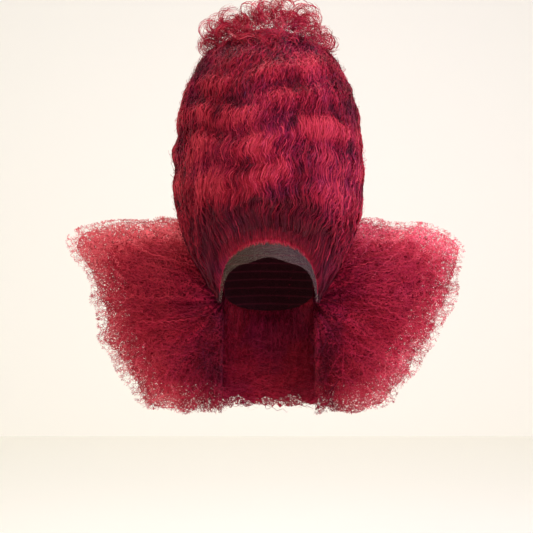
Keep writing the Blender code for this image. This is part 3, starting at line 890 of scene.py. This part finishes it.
def tower_flyaways(combing, hair, random, material):
    """Loose hairs that stand a little off the tower and blur its outline."""
    made = Strands("tower_flyaways")
    count, points = hair.flyaways, 15
    turn, row = random.random(count), random.uniform(0.05, 0.97, count)
    length = np.full(count, 0.045) * random.uniform(0.6, 1.3, count)
    lift = random.uniform(0.0015, 0.0058, count)
    paths, faces, tone = combing.paths(turn, row, points, length, lift, random, 1.8)
    paths = curled(paths, 0.0032, 0.0026, 0.016, random)
    # Painted light: loose hairs that stand off the tower are made lighter than its face
    tone = tone + 0.20 + random.normal(0, 0.08, (count, 1))
    made.add(paths, faces, random.uniform(0.00035, 0.0007, count), tone, 0.2)
    return made.build(material)


FRINGE_SPREAD, FRINGE_END = 0.11, 0.20  # turns to each side of the middle: usual and farthest
RIM_DROP = 0.003  # from the hairline down to the first knots on the lace
KNOTS_NEAR, KNOTS_BREADTH = 0.0004, 0.0060  # how far ahead of the hairline the knots lie


def hairline_fringe(form, hair, random, material):
    """Fine hairs tied into the lace ahead of the hairline, swept up over the rim."""
    made = Strands("hairline_fringe")
    count, points = hair.fringe, 8
    lace = tree_of("lace_front")
    turn = np.clip(random.normal(0, FRINGE_SPREAD, count), -FRINGE_END, FRINGE_END) % 1.0
    ahead = KNOTS_NEAR + KNOTS_BREADTH * random.random(count) ** 2.2
    roots, tops = np.zeros((count, 3)), np.zeros((count, 3))
    rims = form.at(np.zeros(count), turn).point
    kept = np.ones(count, bool)
    for i in range(count):
        azimuth = 2 * math.pi * turn[i]
        out = Vector((math.sin(azimuth), -math.cos(azimuth), 0.0))
        for store, drop in ((roots, RIM_DROP + ahead[i]), (tops, RIM_DROP)):
            axis = Vector((0.0, form.eye.y, rims[i, 2] - drop))
            hit = lace.ray_cast(axis + out, -out, 1.0)
            kept[i] &= hit[3] is not None
            store[i] = hit[0] if hit[3] is not None else (0, 0, 0)
    turn, ahead, roots, tops = turn[kept], ahead[kept], roots[kept], tops[kept]
    count = len(turn)
    length = random.uniform(0.011, 0.024, count)[:, None]
    share = np.linspace(0, 1, points)[None, :]
    arc = share * length
    uphill = unit(tops - roots)[:, None, :]
    on_lace = roots[:, None, :] + uphill * arc[..., None]
    span = np.linalg.norm(form.at(np.zeros(count), turn).along, axis=-1)
    rows = np.clip((arc - ahead[:, None]) / span[:, None], 0, 1)
    spot = form.at(rows, np.broadcast_to(turn[:, None], rows.shape))
    lift = random.uniform(-0.0004, 0.0018, (count, 1))
    on_tower = spot.point + spot.normal * lift[..., None]
    over = eased(0.0, 1.0, (arc - 0.5 * ahead[:, None]) / 0.0075)[..., None]
    lean = random.normal(0, 0.0016, (count, 1)) * share**2
    paths = on_lace * (1 - over) + on_tower * over + unit(spot.across) * lean[..., None]
    faces = unit(spot.normal + unit(spot.across) * random.normal(0, 0.4, (count, 1, 1)))
    # Painted light: hairs are lighter near their roots, most at the middle of the hairline, where the lit
    # roots glow
    centre = np.exp(-((((turn + 0.5) % 1.0 - 0.5) / 0.10) ** 2))[:, None]
    root_glow = np.clip(1 - arc / random.uniform(0.004, 0.010, (count, 1)), 0, 1) ** 0.8
    tone = 0.14 + (0.20 + 0.66 * centre) * root_glow + random.normal(0, 0.10, (count, 1))
    made.add(paths, faces, random.uniform(0.0005, 0.0009, count), tone, 0.6)
    return made.build(material)


# Tuft

TUFT_WIDTH, TUFT_DEPTH = 0.164, 0.144
TUFT_SINK, TUFT_RISE = 0.020, 0.034
TUFT_CENTRE = np.array([0.0, 0.006, TOWER_HIGH.z - TUFT_SINK])
CURL_RADIUS = 0.017
CURL_TURN = math.radians(300)
LOCKS_IN_CURL = 5
MOUND_SINK = 0.25  # radians by which the mound goes on below its widest level

# points in a strand, spread of the strands and tone; a small lock has its number of strands first
LARGE_LOCK = (22, 0.0028, 0.74)
SMALL_LOCK = (8, 18, 0.0024, 0.66)

# azimuth in degrees, out from the crown, lift, size, turn and lean in degrees
CURLS = (
    (-84, 0.74, 0.45, 0.95, 8, 12),
    (-50, 0.66, 0.30, 1.00, -22, -8),
    (-14, 0.40, 0.20, 0.92, 30, 10),
    (28, 0.44, 0.55, 0.85, -12, -14),
    (64, 0.70, 0.50, 1.05, 18, 8),
    (96, 0.76, 0.40, 1.00, -10, -16),
    (150, 0.58, 0.25, 0.90, 40, 10),
    (-140, 0.62, 0.15, 0.90, -46, 12),
)


def tuft_point(azimuth, rise):
    """Points on the mound of the tuft."""
    lump = 1 + 0.05 * np.sin(5 * azimuth + 1.2) + 0.04 * np.sin(3 * azimuth)
    across = np.cos(rise) * lump
    offsets = [
        TUFT_WIDTH / 2 * across * np.sin(azimuth),
        -TUFT_DEPTH / 2 * across * np.cos(azimuth),
        (TUFT_RISE + TUFT_SINK) * np.sin(rise),
    ]
    return TUFT_CENTRE + np.stack(offsets, -1)


def add_lock(made, hair, random, seat, out, lift, turn, lean, radius, strands, points, spread, tone):
    """Hairs gathered in one curled lock that loosens towards its tip.

    The lock has a number of strands, points in each, a spread between them and a tone.
    """
    plain = unit(np.cross(out, [0.0, 1.0, 0.0]))
    other = unit(np.cross(out, plain))
    across = plain * math.cos(turn) + other * math.sin(turn)
    face = np.cross(out, across)
    share = np.linspace(0, 1, points)[None, :]
    angle = CURL_TURN * share * random.uniform(0.75, 1.12, (strands, 1))
    angle = angle + random.normal(0, 0.12, (strands, 1))
    size = radius * (1 + random.normal(0, 0.16, (strands, 1)) * (0.4 + share) - 0.12 * share)
    spoke = across * np.sin(angle)[..., None] - out * np.cos(angle)[..., None]
    sideways = lean * radius * share + random.normal(0, spread, (strands, 1)) * (0.3 + 0.9 * share)
    centre = seat + out * radius * lift + random.normal(0, spread * 0.5, (strands, 1, 3))
    paths = centre + spoke * size[..., None] + face * sideways[..., None]
    paths = curled(paths, radius * CURL_TURN / points, 0.0007, 0.011, random)
    tones = tone + random.normal(0, 0.13, (strands, 1)) + 0.22 * (share - 0.5)
    faces = any_way(strands, random)
    made.add(paths, faces, hair.width * random.uniform(0.5, 1.1, strands), tones, 0.3)


def tuft_hair(hair, random, material):
    """The large curled locks, the small ones between them and the single curls over all."""
    made = Strands("tuft_curls")
    for azimuth, out_share, lift, size, turn, lean in CURLS:
        for _ in range(LOCKS_IN_CURL):
            azimuth_here = math.radians(azimuth + random.normal(0, 12))
            rise = math.acos(np.clip(out_share + random.normal(0, 0.10), 0.1, 0.9))
            seat = tuft_point(np.array(azimuth_here), np.array(rise))
            out = unit(seat - TUFT_CENTRE + random.normal(0, 0.010, 3))
            radius = CURL_RADIUS * size * random.uniform(0.55, 1.0)
            turned = math.radians(turn + random.normal(0, 40))
            leaning = math.radians(lean + random.normal(0, 14))
            high = lift + 0.15 + 0.4 * (1 - radius / CURL_RADIUS)
            held = (hair.lock_strands, *LARGE_LOCK)
            add_lock(made, hair, random, seat, out, high, turned, leaning, radius, *held)
    for _ in range(hair.small_locks):
        azimuth, rise = random.uniform(-math.pi, math.pi), math.asin(random.uniform(0.05, 1.0))
        seat = tuft_point(np.array(azimuth), np.array(rise))
        out = unit(seat - TUFT_CENTRE + random.normal(0, 0.020, 3))
        radius = random.uniform(0.007, 0.0145)
        turned, leaning = random.uniform(0, math.pi), random.normal(0, 0.35)
        add_lock(made, hair, random, seat, out, 0.1, turned, leaning, radius, *SMALL_LOCK)
    count, points = hair.loose, 20
    azimuth = random.uniform(-math.pi, math.pi, (count, 1))
    rise = np.arcsin(random.uniform(0.05, 1.0, (count, 1)))
    share = np.linspace(0, 1, points)[None, :]
    heading = random.uniform(-math.pi, math.pi, (count, 1))
    reach = random.uniform(0.014, 0.040, (count, 1)) * share
    place = tuft_point(
        azimuth + reach * np.sin(heading) / (TUFT_WIDTH / 2 * np.maximum(np.cos(rise), 0.3)),
        rise + reach * np.cos(heading) / (TUFT_WIDTH / 2),
    )
    out = unit(place - TUFT_CENTRE)
    off = random.uniform(-0.005, 0.004, (count, 1)) + 0.022 * share * random.random((count, 1)) ** 2
    place = place + out * off[..., None]
    place = curled(place, 0.0022, 0.0044, 0.020, random)
    tone = 0.52 + random.normal(0, 0.15, (count, 1)) + 0.1 * share
    faces = out + random.normal(0, 0.6, (count, 1, 3))
    made.add(place, faces, hair.width * random.uniform(0.5, 1.1, count), tone, 0.3)
    return made.build(material)


def tuft_shell(name, size, columns, cover, material):
    """A mound under or around the curls, larger or smaller than their own by a factor."""

    def place(row, turn):
        point = tuft_point(2 * math.pi * turn, -MOUND_SINK + (math.pi / 2 + MOUND_SINK) * row)
        return TUFT_CENTRE + (point - TUFT_CENTRE) * size

    def tone_of(row, turn):
        return 0.46 + 0.10 * row + 0.12 * np.sin(12 * math.pi * turn)

    def cover_of(row, turn):
        return np.full(len(row), cover)

    return sheet_mesh(name, columns // 2, columns, place, tone_of, cover_of, material)


# Wings and nape

WING_FLATNESS = 1.6  # how much more a wing's ribbons look to the front and back than sideways
WAVY_STEP, FUZZ_STEP = 0.0040, 0.0016  # between the points of a wavy strand and of a tight curl
SHELL_START = 0.006  # how far inside the root a wing's sheets start
MOST_OVER = 1.05  # share of the reach past which loose curls are drawn back


def wing_tone(form, out, height):
    """Brighter towards a wing's top and rim and darker beside the nape: painted light on the top and through
    the rim, painted shade beside the nape under the tower.
    """
    tone = 0.51 + 0.19 * eased(form.top - 0.105, form.top - 0.010, height)
    tone = tone + 0.31 * eased(0.60, 1.0, form.turn_and_share(out, height)[1])
    near_root = 1 - eased(0.0, 0.085, out)
    return tone - 0.46 * near_root * eased(0.0, 0.05, form.top - 0.03 - height)


def flowing_paths(form, hair, random, count, points):
    """Long wavy strands that leave the root level and fan out to the wing's rim."""
    turn = random.random((count, 1))
    end_out, end_height = form.along(turn, random.uniform(0.42, 0.96, (count, 1)))
    start_out = random.uniform(-0.004, 0.040, (count, 1))
    start_height = form.hub[2] + (end_height - form.hub[2]) * random.uniform(0.35, 0.80, (count, 1))
    start_height = start_height + random.normal(0, 0.016, (count, 1))
    bend_out = start_out + 0.45 * (end_out - start_out)
    bend_height = start_height + 0.15 * (end_height - start_height) + random.normal(0, 0.020, (count, 1))
    share = np.linspace(0, 1, points)[None, :]
    first, middle, last = (1 - share) ** 2, 2 * share * (1 - share), share**2
    out = first * start_out + middle * bend_out + last * end_out
    height = first * start_height + middle * bend_height + last * end_height
    depth = random.choice([-1.0, 1.0], (count, 1)) * random.uniform(0.80, 1.03, (count, 1))
    place = form.at(out, height, depth + np.zeros_like(out))
    return curled(place, WAVY_STEP, hair.curl * (0.5 + 0.6 * share), 0.0160, random), out, height


def fuzz_paths(form, hair, random, count, points, zone):
    """Short tight curls: at the rim, where they stand loose, over the two faces or along the root."""
    weights = form.reach**2 / (form.reach**2).sum()
    column = random.choice(form.COLUMNS, count, p=weights) + random.random(count)
    turn = np.clip(column / form.COLUMNS, 0, 1)[:, None]
    spot = random.random((count, 1))
    start = {"rim": 0.70 + 0.30 * spot**1.15, "face": 0.10 + 0.80 * np.sqrt(spot), "root": 0.98 * spot}[zone]
    if zone == "root":
        turn = random.uniform(0.0, 0.045, (count, 1))
    out, height = form.along(turn, start)
    share = np.linspace(0, 1, points)[None, :]
    length = random.uniform(0.018, 0.038, (count, 1))
    heading = form.SWEEP * (turn - 0.5) + random.normal(0, 0.9, (count, 1))
    out = np.abs(out + share * length * np.cos(heading) + 0.010) - 0.010
    height = height + share * length * np.sin(heading)
    over = form.turn_and_share(out, height)[1]
    pull = np.minimum(1.0, MOST_OVER / np.maximum(over, 1e-3))
    out, height = out * pull, form.hub[2] + (height - form.hub[2]) * pull
    if zone != "face":
        depth = random.uniform(-1, 1 if zone == "rim" else 0.2, (count, 1))
    else:
        depth = random.choice([-1.0, 1.0], (count, 1)) * random.uniform(0.86, 1.04, (count, 1))
    place = form.at(out, height, depth + np.zeros_like(out))
    place[..., 1] += random.normal(0, 0.003, (count, 1))
    return curled(place, FUZZ_STEP, hair.curl, hair.curl_pitch, random), out, height


def wing_hair(name, form, hair, random, material):
    """All the strands of one wing: the long wavy ones, then the tight curls of each zone."""
    made = Strands(name)

    def add(found, count, width, lighter, uneven, taper):
        place, out, height = found
        tone = wing_tone(form, out, height) + random.normal(lighter, uneven, (count, 1))
        faces = any_way(count, random, WING_FLATNESS)
        made.add(place, faces, width * random.uniform(0.6, 1.2, count), tone, taper)

    flowing = flowing_paths(form, hair, random, hair.strands, 48)
    add(flowing, hair.strands, hair.width, 0, 0.11, 0.25)
    for zone, count in (("rim", hair.rim_curls), ("face", hair.face_curls), ("root", hair.root_curls)):
        fuzz = fuzz_paths(form, hair, random, count, 22, zone)
        add(fuzz, count, hair.curl_width, 0.08, 0.14, 0.3)
    return made.build(material)


# a veil's name, size, fullness, shade (a tone shift, higher in the outer veil for painted light), cover at
# the rim, and cover lost at the fold
WING_VEILS = (
    ("inner_veil", 0.98, 0.93, 0.00, 0.60, 0.66),
    ("outer_veil", 1.025, 1.00, 0.07, 0.76, 0.28),
)
VEIL_COVER = 0.76  # of a wing's veil over most of its face


def wing_shell(name, form, random, material, size, fullness, shade, least=0.0, parting=0.0):
    """One sheet from a wing's root over its front, round the rim and back: the core or a loose veil. Its
    shade shifts the tone, down for painted shade in the core and up for painted light in the outer veil.
    """
    dents, rags = Drift(random, 7, 5.0, 9), Drift(random, 21, 8.0, 9)

    def spread(row, turn):
        edge = size + (1 - size) * 0.35 * eased(0.72, 0.86, turn) + 0.022 * dents(turn, 0.3)
        edge = edge + 0.011 * rags(turn, row)
        return edge * np.sin(math.pi * row)

    def place(row, turn):
        out, height = form.along(0.004 + 0.992 * turn, spread(row, turn))
        depth = (fullness + 0.05 * dents(turn, row)) * np.cos(math.pi * row)
        depth = depth + 0.22 * rags(row, turn) * np.sin(math.pi * row) ** 8
        return form.at(out - SHELL_START, height, depth)

    def tone_of(row, turn):
        out, height = form.along(turn, spread(row, turn))
        # Painted light: lighter where the dents make the sheet bulge
        return wing_tone(form, out, height) + shade + 0.06 * dents(turn, row)

    def cover_of(row, turn):
        thinning = eased(0.60, size, spread(row, turn)) * (1 - 0.45 * eased(0.78, 0.95, turn))
        fold = eased(0.90, 0.99, np.sin(math.pi * row))
        corner = np.exp(-(((turn - 0.70) / 0.055) ** 2)) * eased(0.65, 0.95, spread(row, turn))
        cover = VEIL_COVER - (VEIL_COVER - least) * thinning - parting * fold - 0.16 * corner
        return cover + 0.08 * dents(2.0 * turn, 2.0 * row)

    return sheet_mesh(name, 48, 56, place, tone_of, cover_of, material, filled=True)


# strands, points in each and whether they curl tightly
NAPE_BATCHES = ((260, 42, False), (640, 20, True))


def nape_hair(form, hair, random, material):
    """Wavy hair that falls down the nape, with tight curls along its lower edge."""
    made = Strands("nape_hair")
    for count, points, tight in NAPE_BATCHES:
        share = np.linspace(0, 1, points)[None, :]
        if tight:
            down = random.uniform(0.30, 1.0, (count, 1)) ** 0.4
            downs = down + share * random.uniform(-0.06, 0.05, (count, 1))
        else:
            down = random.uniform(0.0, 0.35, (count, 1))
            downs = down + share * random.uniform(0.5, 1.0, (count, 1)) * (0.96 - down)
        sway = random.uniform(0.02, 0.05, (count, 1)) * np.sin(5 * share + random.uniform(0, 6, (count, 1)))
        across = random.uniform(-0.02, 1.02, (count, 1)) + sway * (1 + 2 * tight)
        depth = random.choice([-1.0, 1.0], (count, 1), p=[0.45, 0.55])
        depth = depth * random.uniform(0.84, 1.03, (count, 1))
        place = form.at(downs, across, depth + np.zeros_like(downs))
        width = hair.curl_width if tight else hair.width
        step, pitch = (FUZZ_STEP, hair.curl_pitch) if tight else (WAVY_STEP, 0.0150)
        place = curled(place, step, hair.curl, pitch, random)
        # Painted shade: darkest at the top of the nape, under the tower, and lighter downwards
        tone = 0.16 + 0.30 * np.clip(downs, 0, 1) ** 2 + random.normal(0, 0.09, (count, 1))
        made.add(place, any_way(count, random), width * random.uniform(0.6, 1.2, count), tone, 0.3)
    return made.build(material)


def nape_shell(name, form, random, material, size, fullness, shade):
    """One sheet over the nape's front, round its lower edge and up its back. Its shade shifts the tone, a
    little down for painted shade in the under hair and up for painted light in the veil.
    """
    dents, rags = Drift(random, 4, 4.0, 8), Drift(random, 13, 6.0, 8)

    def place(row, turn):
        ends = np.sqrt(np.clip(np.minimum(turn, 1 - turn) / 0.06, 0, 1))
        depth = (fullness + 0.05 * dents(turn, 0.5)) * ends * np.cos(math.pi * row)
        edge = size - 0.03 + 0.014 * dents(turn, 0.5) + 0.012 * rags(turn, row)
        return form.at(0.03 + edge * np.sin(math.pi * row), 1.07 * turn - 0.035, depth)

    def tone_of(row, turn):
        # Painted shade keeps the nape dark, lightest at its lower edge
        return 0.08 + shade + 0.22 * np.sin(math.pi * row)

    def cover_of(row, turn):
        return 0.78 - 0.14 * eased(0.90, 1.0, size * np.sin(math.pi * row))

    return sheet_mesh(name, 44, 26, place, tone_of, cover_of, material, filled=True)


# Operators

FLOOR_HEIGHT, WALL_DEPTH, STAGE_SIZE = -0.809, 2.60, 8.0
ORIGIN = (0.0, 0.0, 0.0)

# name, place, aim, breadth, power and colour
LIGHTS = (
    ("key_light", (-0.9, -1.5, 1.5), ORIGIN, 1.2, 23.0, (1.0, 0.96, 0.92)),
    ("right_light", (1.4, -0.9, 0.5), (0.0, 0.0, -0.05), 1.0, 38.0, (0.62, 0.48, 1.0)),
    ("top_light", (0.0, 0.1, 1.6), ORIGIN, 1.2, 24.0, (1.0, 0.98, 0.96)),
)
SKY_COLOUR, SKY_STRENGTH = (1.0, 0.99, 0.97, 1.0), 0.50

CAMERA_DISTANCE = 1.60
CAMERA_RISE = math.radians(2.0)
CAMERA_LENS, CAMERA_SENSOR = 76.0, 36.0
LOOK_AT = Vector((-0.003, 0.0, -0.080))


class StageOperator(bpy.types.Operator):
    """Lays the floor, the wall, the lights and the camera."""

    bl_idname = "wig.stage"
    bl_label = "Stage"

    def execute(self, context):
        colours = context.scene.wig_colours
        wall = plain_finish("wall_paint", colours.wall, 0.9, 0.16)
        floor = plain_finish("floor_paint", colours.floor, 0.8, 0.19)
        make_plane("stage_floor", (0.0, 0.0, FLOOR_HEIGHT), ORIGIN, floor)
        make_plane("stage_wall", (0.0, WALL_DEPTH, 0.0), (math.pi / 2, 0.0, 0.0), wall)
        for light in LIGHTS:
            make_light(*light)
        world = bpy.data.worlds.new("studio")
        world.use_nodes = True
        sky = world.node_tree.nodes["Background"]
        sky.inputs["Color"].default_value = SKY_COLOUR
        sky.inputs["Strength"].default_value = SKY_STRENGTH
        context.scene.world = world
        context.scene.view_settings.view_transform = "Standard"
        make_camera(context)
        return {"FINISHED"}


def make_plane(name, place, turn, material):
    mesh = bmesh.new()
    bmesh.ops.create_grid(mesh, x_segments=2, y_segments=2, size=STAGE_SIZE / 2)
    data = bpy.data.meshes.new(name)
    mesh.to_mesh(data)
    mesh.free()
    data.materials.append(material)
    thing = bpy.data.objects.new(name, data)
    bpy.context.scene.collection.objects.link(thing)
    thing.location = place
    thing.rotation_euler = turn


def make_light(name, place, aim, breadth, power, shade):
    data = bpy.data.lights.new(name, "AREA")
    data.shape = "DISK"
    data.size = breadth
    data.energy = power
    data.color = shade
    thing = bpy.data.objects.new(name, data)
    bpy.context.scene.collection.objects.link(thing)
    thing.location = place
    thing.rotation_euler = (Vector(aim) - Vector(place)).to_track_quat("-Z", "Y").to_euler()


def make_camera(context):
    data = bpy.data.cameras.new("photo_camera")
    data.sensor_width = CAMERA_SENSOR
    data.lens = CAMERA_LENS
    camera = bpy.data.objects.new("photo_camera", data)
    context.scene.collection.objects.link(camera)
    offset = Vector((0.0, -math.cos(CAMERA_RISE), math.sin(CAMERA_RISE))) * CAMERA_DISTANCE
    camera.location = LOOK_AT + offset
    camera.rotation_euler = (-offset).to_track_quat("-Z", "Y").to_euler()
    context.scene.camera = camera


def dressed(pieces, node):
    """Hides the CAD node whose place the pieces take."""
    for piece in pieces:
        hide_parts(node)


class CapOperator(bpy.types.Operator):
    """Gives the cap its stretch net and the front its sheer lace."""

    bl_idname = "wig.cap"
    bl_label = "Cap and lace"

    def execute(self, context):
        colours = context.scene.wig_colours
        for node, material in (("wig_cap", net_finish(colours)), ("lace_front", lace_finish(colours))):
            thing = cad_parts[node]
            for place in thing.material_slots:
                place.material = material
        return {"FINISHED"}


class TowerOperator(bpy.types.Operator):
    """Combs crimped strands over the tower, with its fringe and loose hairs."""

    bl_idname = "wig.tower"
    bl_label = "Tower"

    def execute(self, context):
        hair, colours = context.scene.wig_tower, context.scene.wig_colours
        random = np.random.default_rng(41)
        form = TowerForm(hair, random)
        combing = TowerCombing(form, hair, random)
        under = under_finish("tower_under_hair", colours, (600.0, 8.0, 1.0), 1.0)
        strand = strand_finish("crimped_strands", colours, colours.bright, 0.46, 26.0, 1.0)
        fine = strand_finish("fine_strands", colours, colours.bright, 0.5, 30.0, 1.0)
        # The fringe's last stop is the painted glow of its lit roots
        root_glow_finish = strand_finish("fringe_strands", colours, colours.roots, 0.5, 30.0, 1.0)
        veil = veil_finish("tower_veil", colours, colours.bright, 80.0, 1.0, 2.0)
        made = [
            # The under hair is darker as painted shade under the strands, the veil lighter as painted light
            tower_shell("tower_under_hair", form, combing, 72, 108, -0.0024, -0.16, under),
            tower_shell("tower_veil", form, combing, 50, 72, 0.0014, 0.16, veil),
        ]
        parts = (
            ("tower_left_front_hair", -0.125, 0.256, hair.front_strands),
            ("tower_right_front_hair", 0.125, 0.256, hair.front_strands),
            ("tower_back_hair", 0.5, 0.506, hair.back_strands),
        )
        for name, middle, breadth, strands in parts:
            made.append(tower_part(name, combing, hair, random, middle, breadth, strands, strand))
        made.append(tower_flyaways(combing, hair, random, fine))
        made.append(hairline_fringe(form, hair, random, root_glow_finish))
        dressed(made, "beehive")
        return {"FINISHED"}


class TuftOperator(bpy.types.Operator):
    """Curls the loose locks on top of the tower."""

    bl_idname = "wig.tuft"
    bl_label = "Tuft"

    def execute(self, context):
        colours = context.scene.wig_colours
        random = np.random.default_rng(52)
        under = under_finish("tuft_under_hair", colours, (60.0, 30.0, 1.0), 0.8)
        strand = strand_finish("curled_strands", colours, colours.bright, 0.44, 40.0, 0.8)
        veil = veil_finish("tuft_veil", colours, colours.bright, 75.0, 0.8)
        made = [
            tuft_shell("tuft_under_hair", 0.64, 30, 1.0, under),
            tuft_shell("tuft_veil", 0.92, 40, 0.26, veil),
            tuft_hair(context.scene.wig_tuft, random, strand),
        ]
        dressed(made, "top_curls")
        return {"FINISHED"}


class WingOperator(bpy.types.Operator):
    """Fills both frizzed wings."""

    bl_idname = "wig.wings"
    bl_label = "Wings"

    def execute(self, context):
        hair, colours = context.scene.wig_wings, context.scene.wig_colours
        under = under_finish("wing_under_hair", colours, None, 0.3)
        veil = veil_finish("wing_veil", colours, colours.halo, 84.0, 0.3)
        strand = strand_finish("frizzed_strands", colours, colours.halo, 0.55, 18.0, 0.3)
        for node, side, seed in (("left_wing", -1, 63), ("right_wing", 1, 74)):
            random = np.random.default_rng(seed)
            form = WingForm(node, side)
            # The core's shade of -0.10 is painted shade under the veils
            made = [wing_shell(f"{node}_core", form, random, under, hair.core_share, 0.86, -0.10)]
            for layer, *sizes in WING_VEILS:
                made.append(wing_shell(f"{node}_{layer}", form, random, veil, *sizes))
            made.append(wing_hair(f"{node}_hair", form, hair, random, strand))
            dressed(made, node)
        return {"FINISHED"}


class NapeOperator(bpy.types.Operator):
    """Fills the frizzed nape between the wings."""

    bl_idname = "wig.nape"
    bl_label = "Nape"

    def execute(self, context):
        colours = context.scene.wig_colours
        random = np.random.default_rng(85)
        under = under_finish("nape_under_hair", colours, None, 0.6)
        strand = strand_finish("nape_strands", colours, colours.bright, 0.55, 20.0, 0.6)
        form = NapeForm()
        veil = veil_finish("nape_veil", colours, colours.halo, 84.0, 0.6)
        made = [
            nape_shell("nape_under_hair", form, random, under, 0.975, 0.80, -0.02),
            nape_shell("nape_veil", form, random, veil, 1.01, 0.98, 0.12),
            nape_hair(form, context.scene.wig_wings, random, strand),
        ]
        dressed(made, "nape_frizz")
        return {"FINISHED"}


class WigPanel(bpy.types.Panel):
    """Shows the wig's sizes and colours, and a button for each step that builds it."""

    bl_idname = "VIEW3D_PT_wig"
    bl_label = "Perm Wig"
    bl_space_type = "VIEW_3D"
    bl_region_type = "UI"
    bl_category = "Wig"

    def draw(self, context):
        for group, kind in PROPERTY_GROUPS.items():
            box = self.layout.box()
            for name in kind.__annotations__:
                box.prop(getattr(context.scene, group), name)
        for operator in OPERATORS:
            self.layout.operator(operator.bl_idname)


OPERATORS = (StageOperator, CapOperator, TowerOperator, TuftOperator, WingOperator, NapeOperator)


def register():
    for kind in (*PROPERTY_GROUPS.values(), *OPERATORS, WigPanel):
        bpy.utils.register_class(kind)
    for name, kind in PROPERTY_GROUPS.items():
        setattr(bpy.types.Scene, name, PointerProperty(type=kind))


def unregister():
    for name in PROPERTY_GROUPS:
        delattr(bpy.types.Scene, name)
    for kind in (WigPanel, *reversed(OPERATORS), *reversed(PROPERTY_GROUPS.values())):
        bpy.utils.unregister_class(kind)


def main():
    register()
    bpy.ops.wig.stage()
    bpy.ops.wig.cap()
    bpy.ops.wig.tower()
    bpy.ops.wig.tuft()
    bpy.ops.wig.wings()
    bpy.ops.wig.nape()


if __name__ == "__main__":
    main()
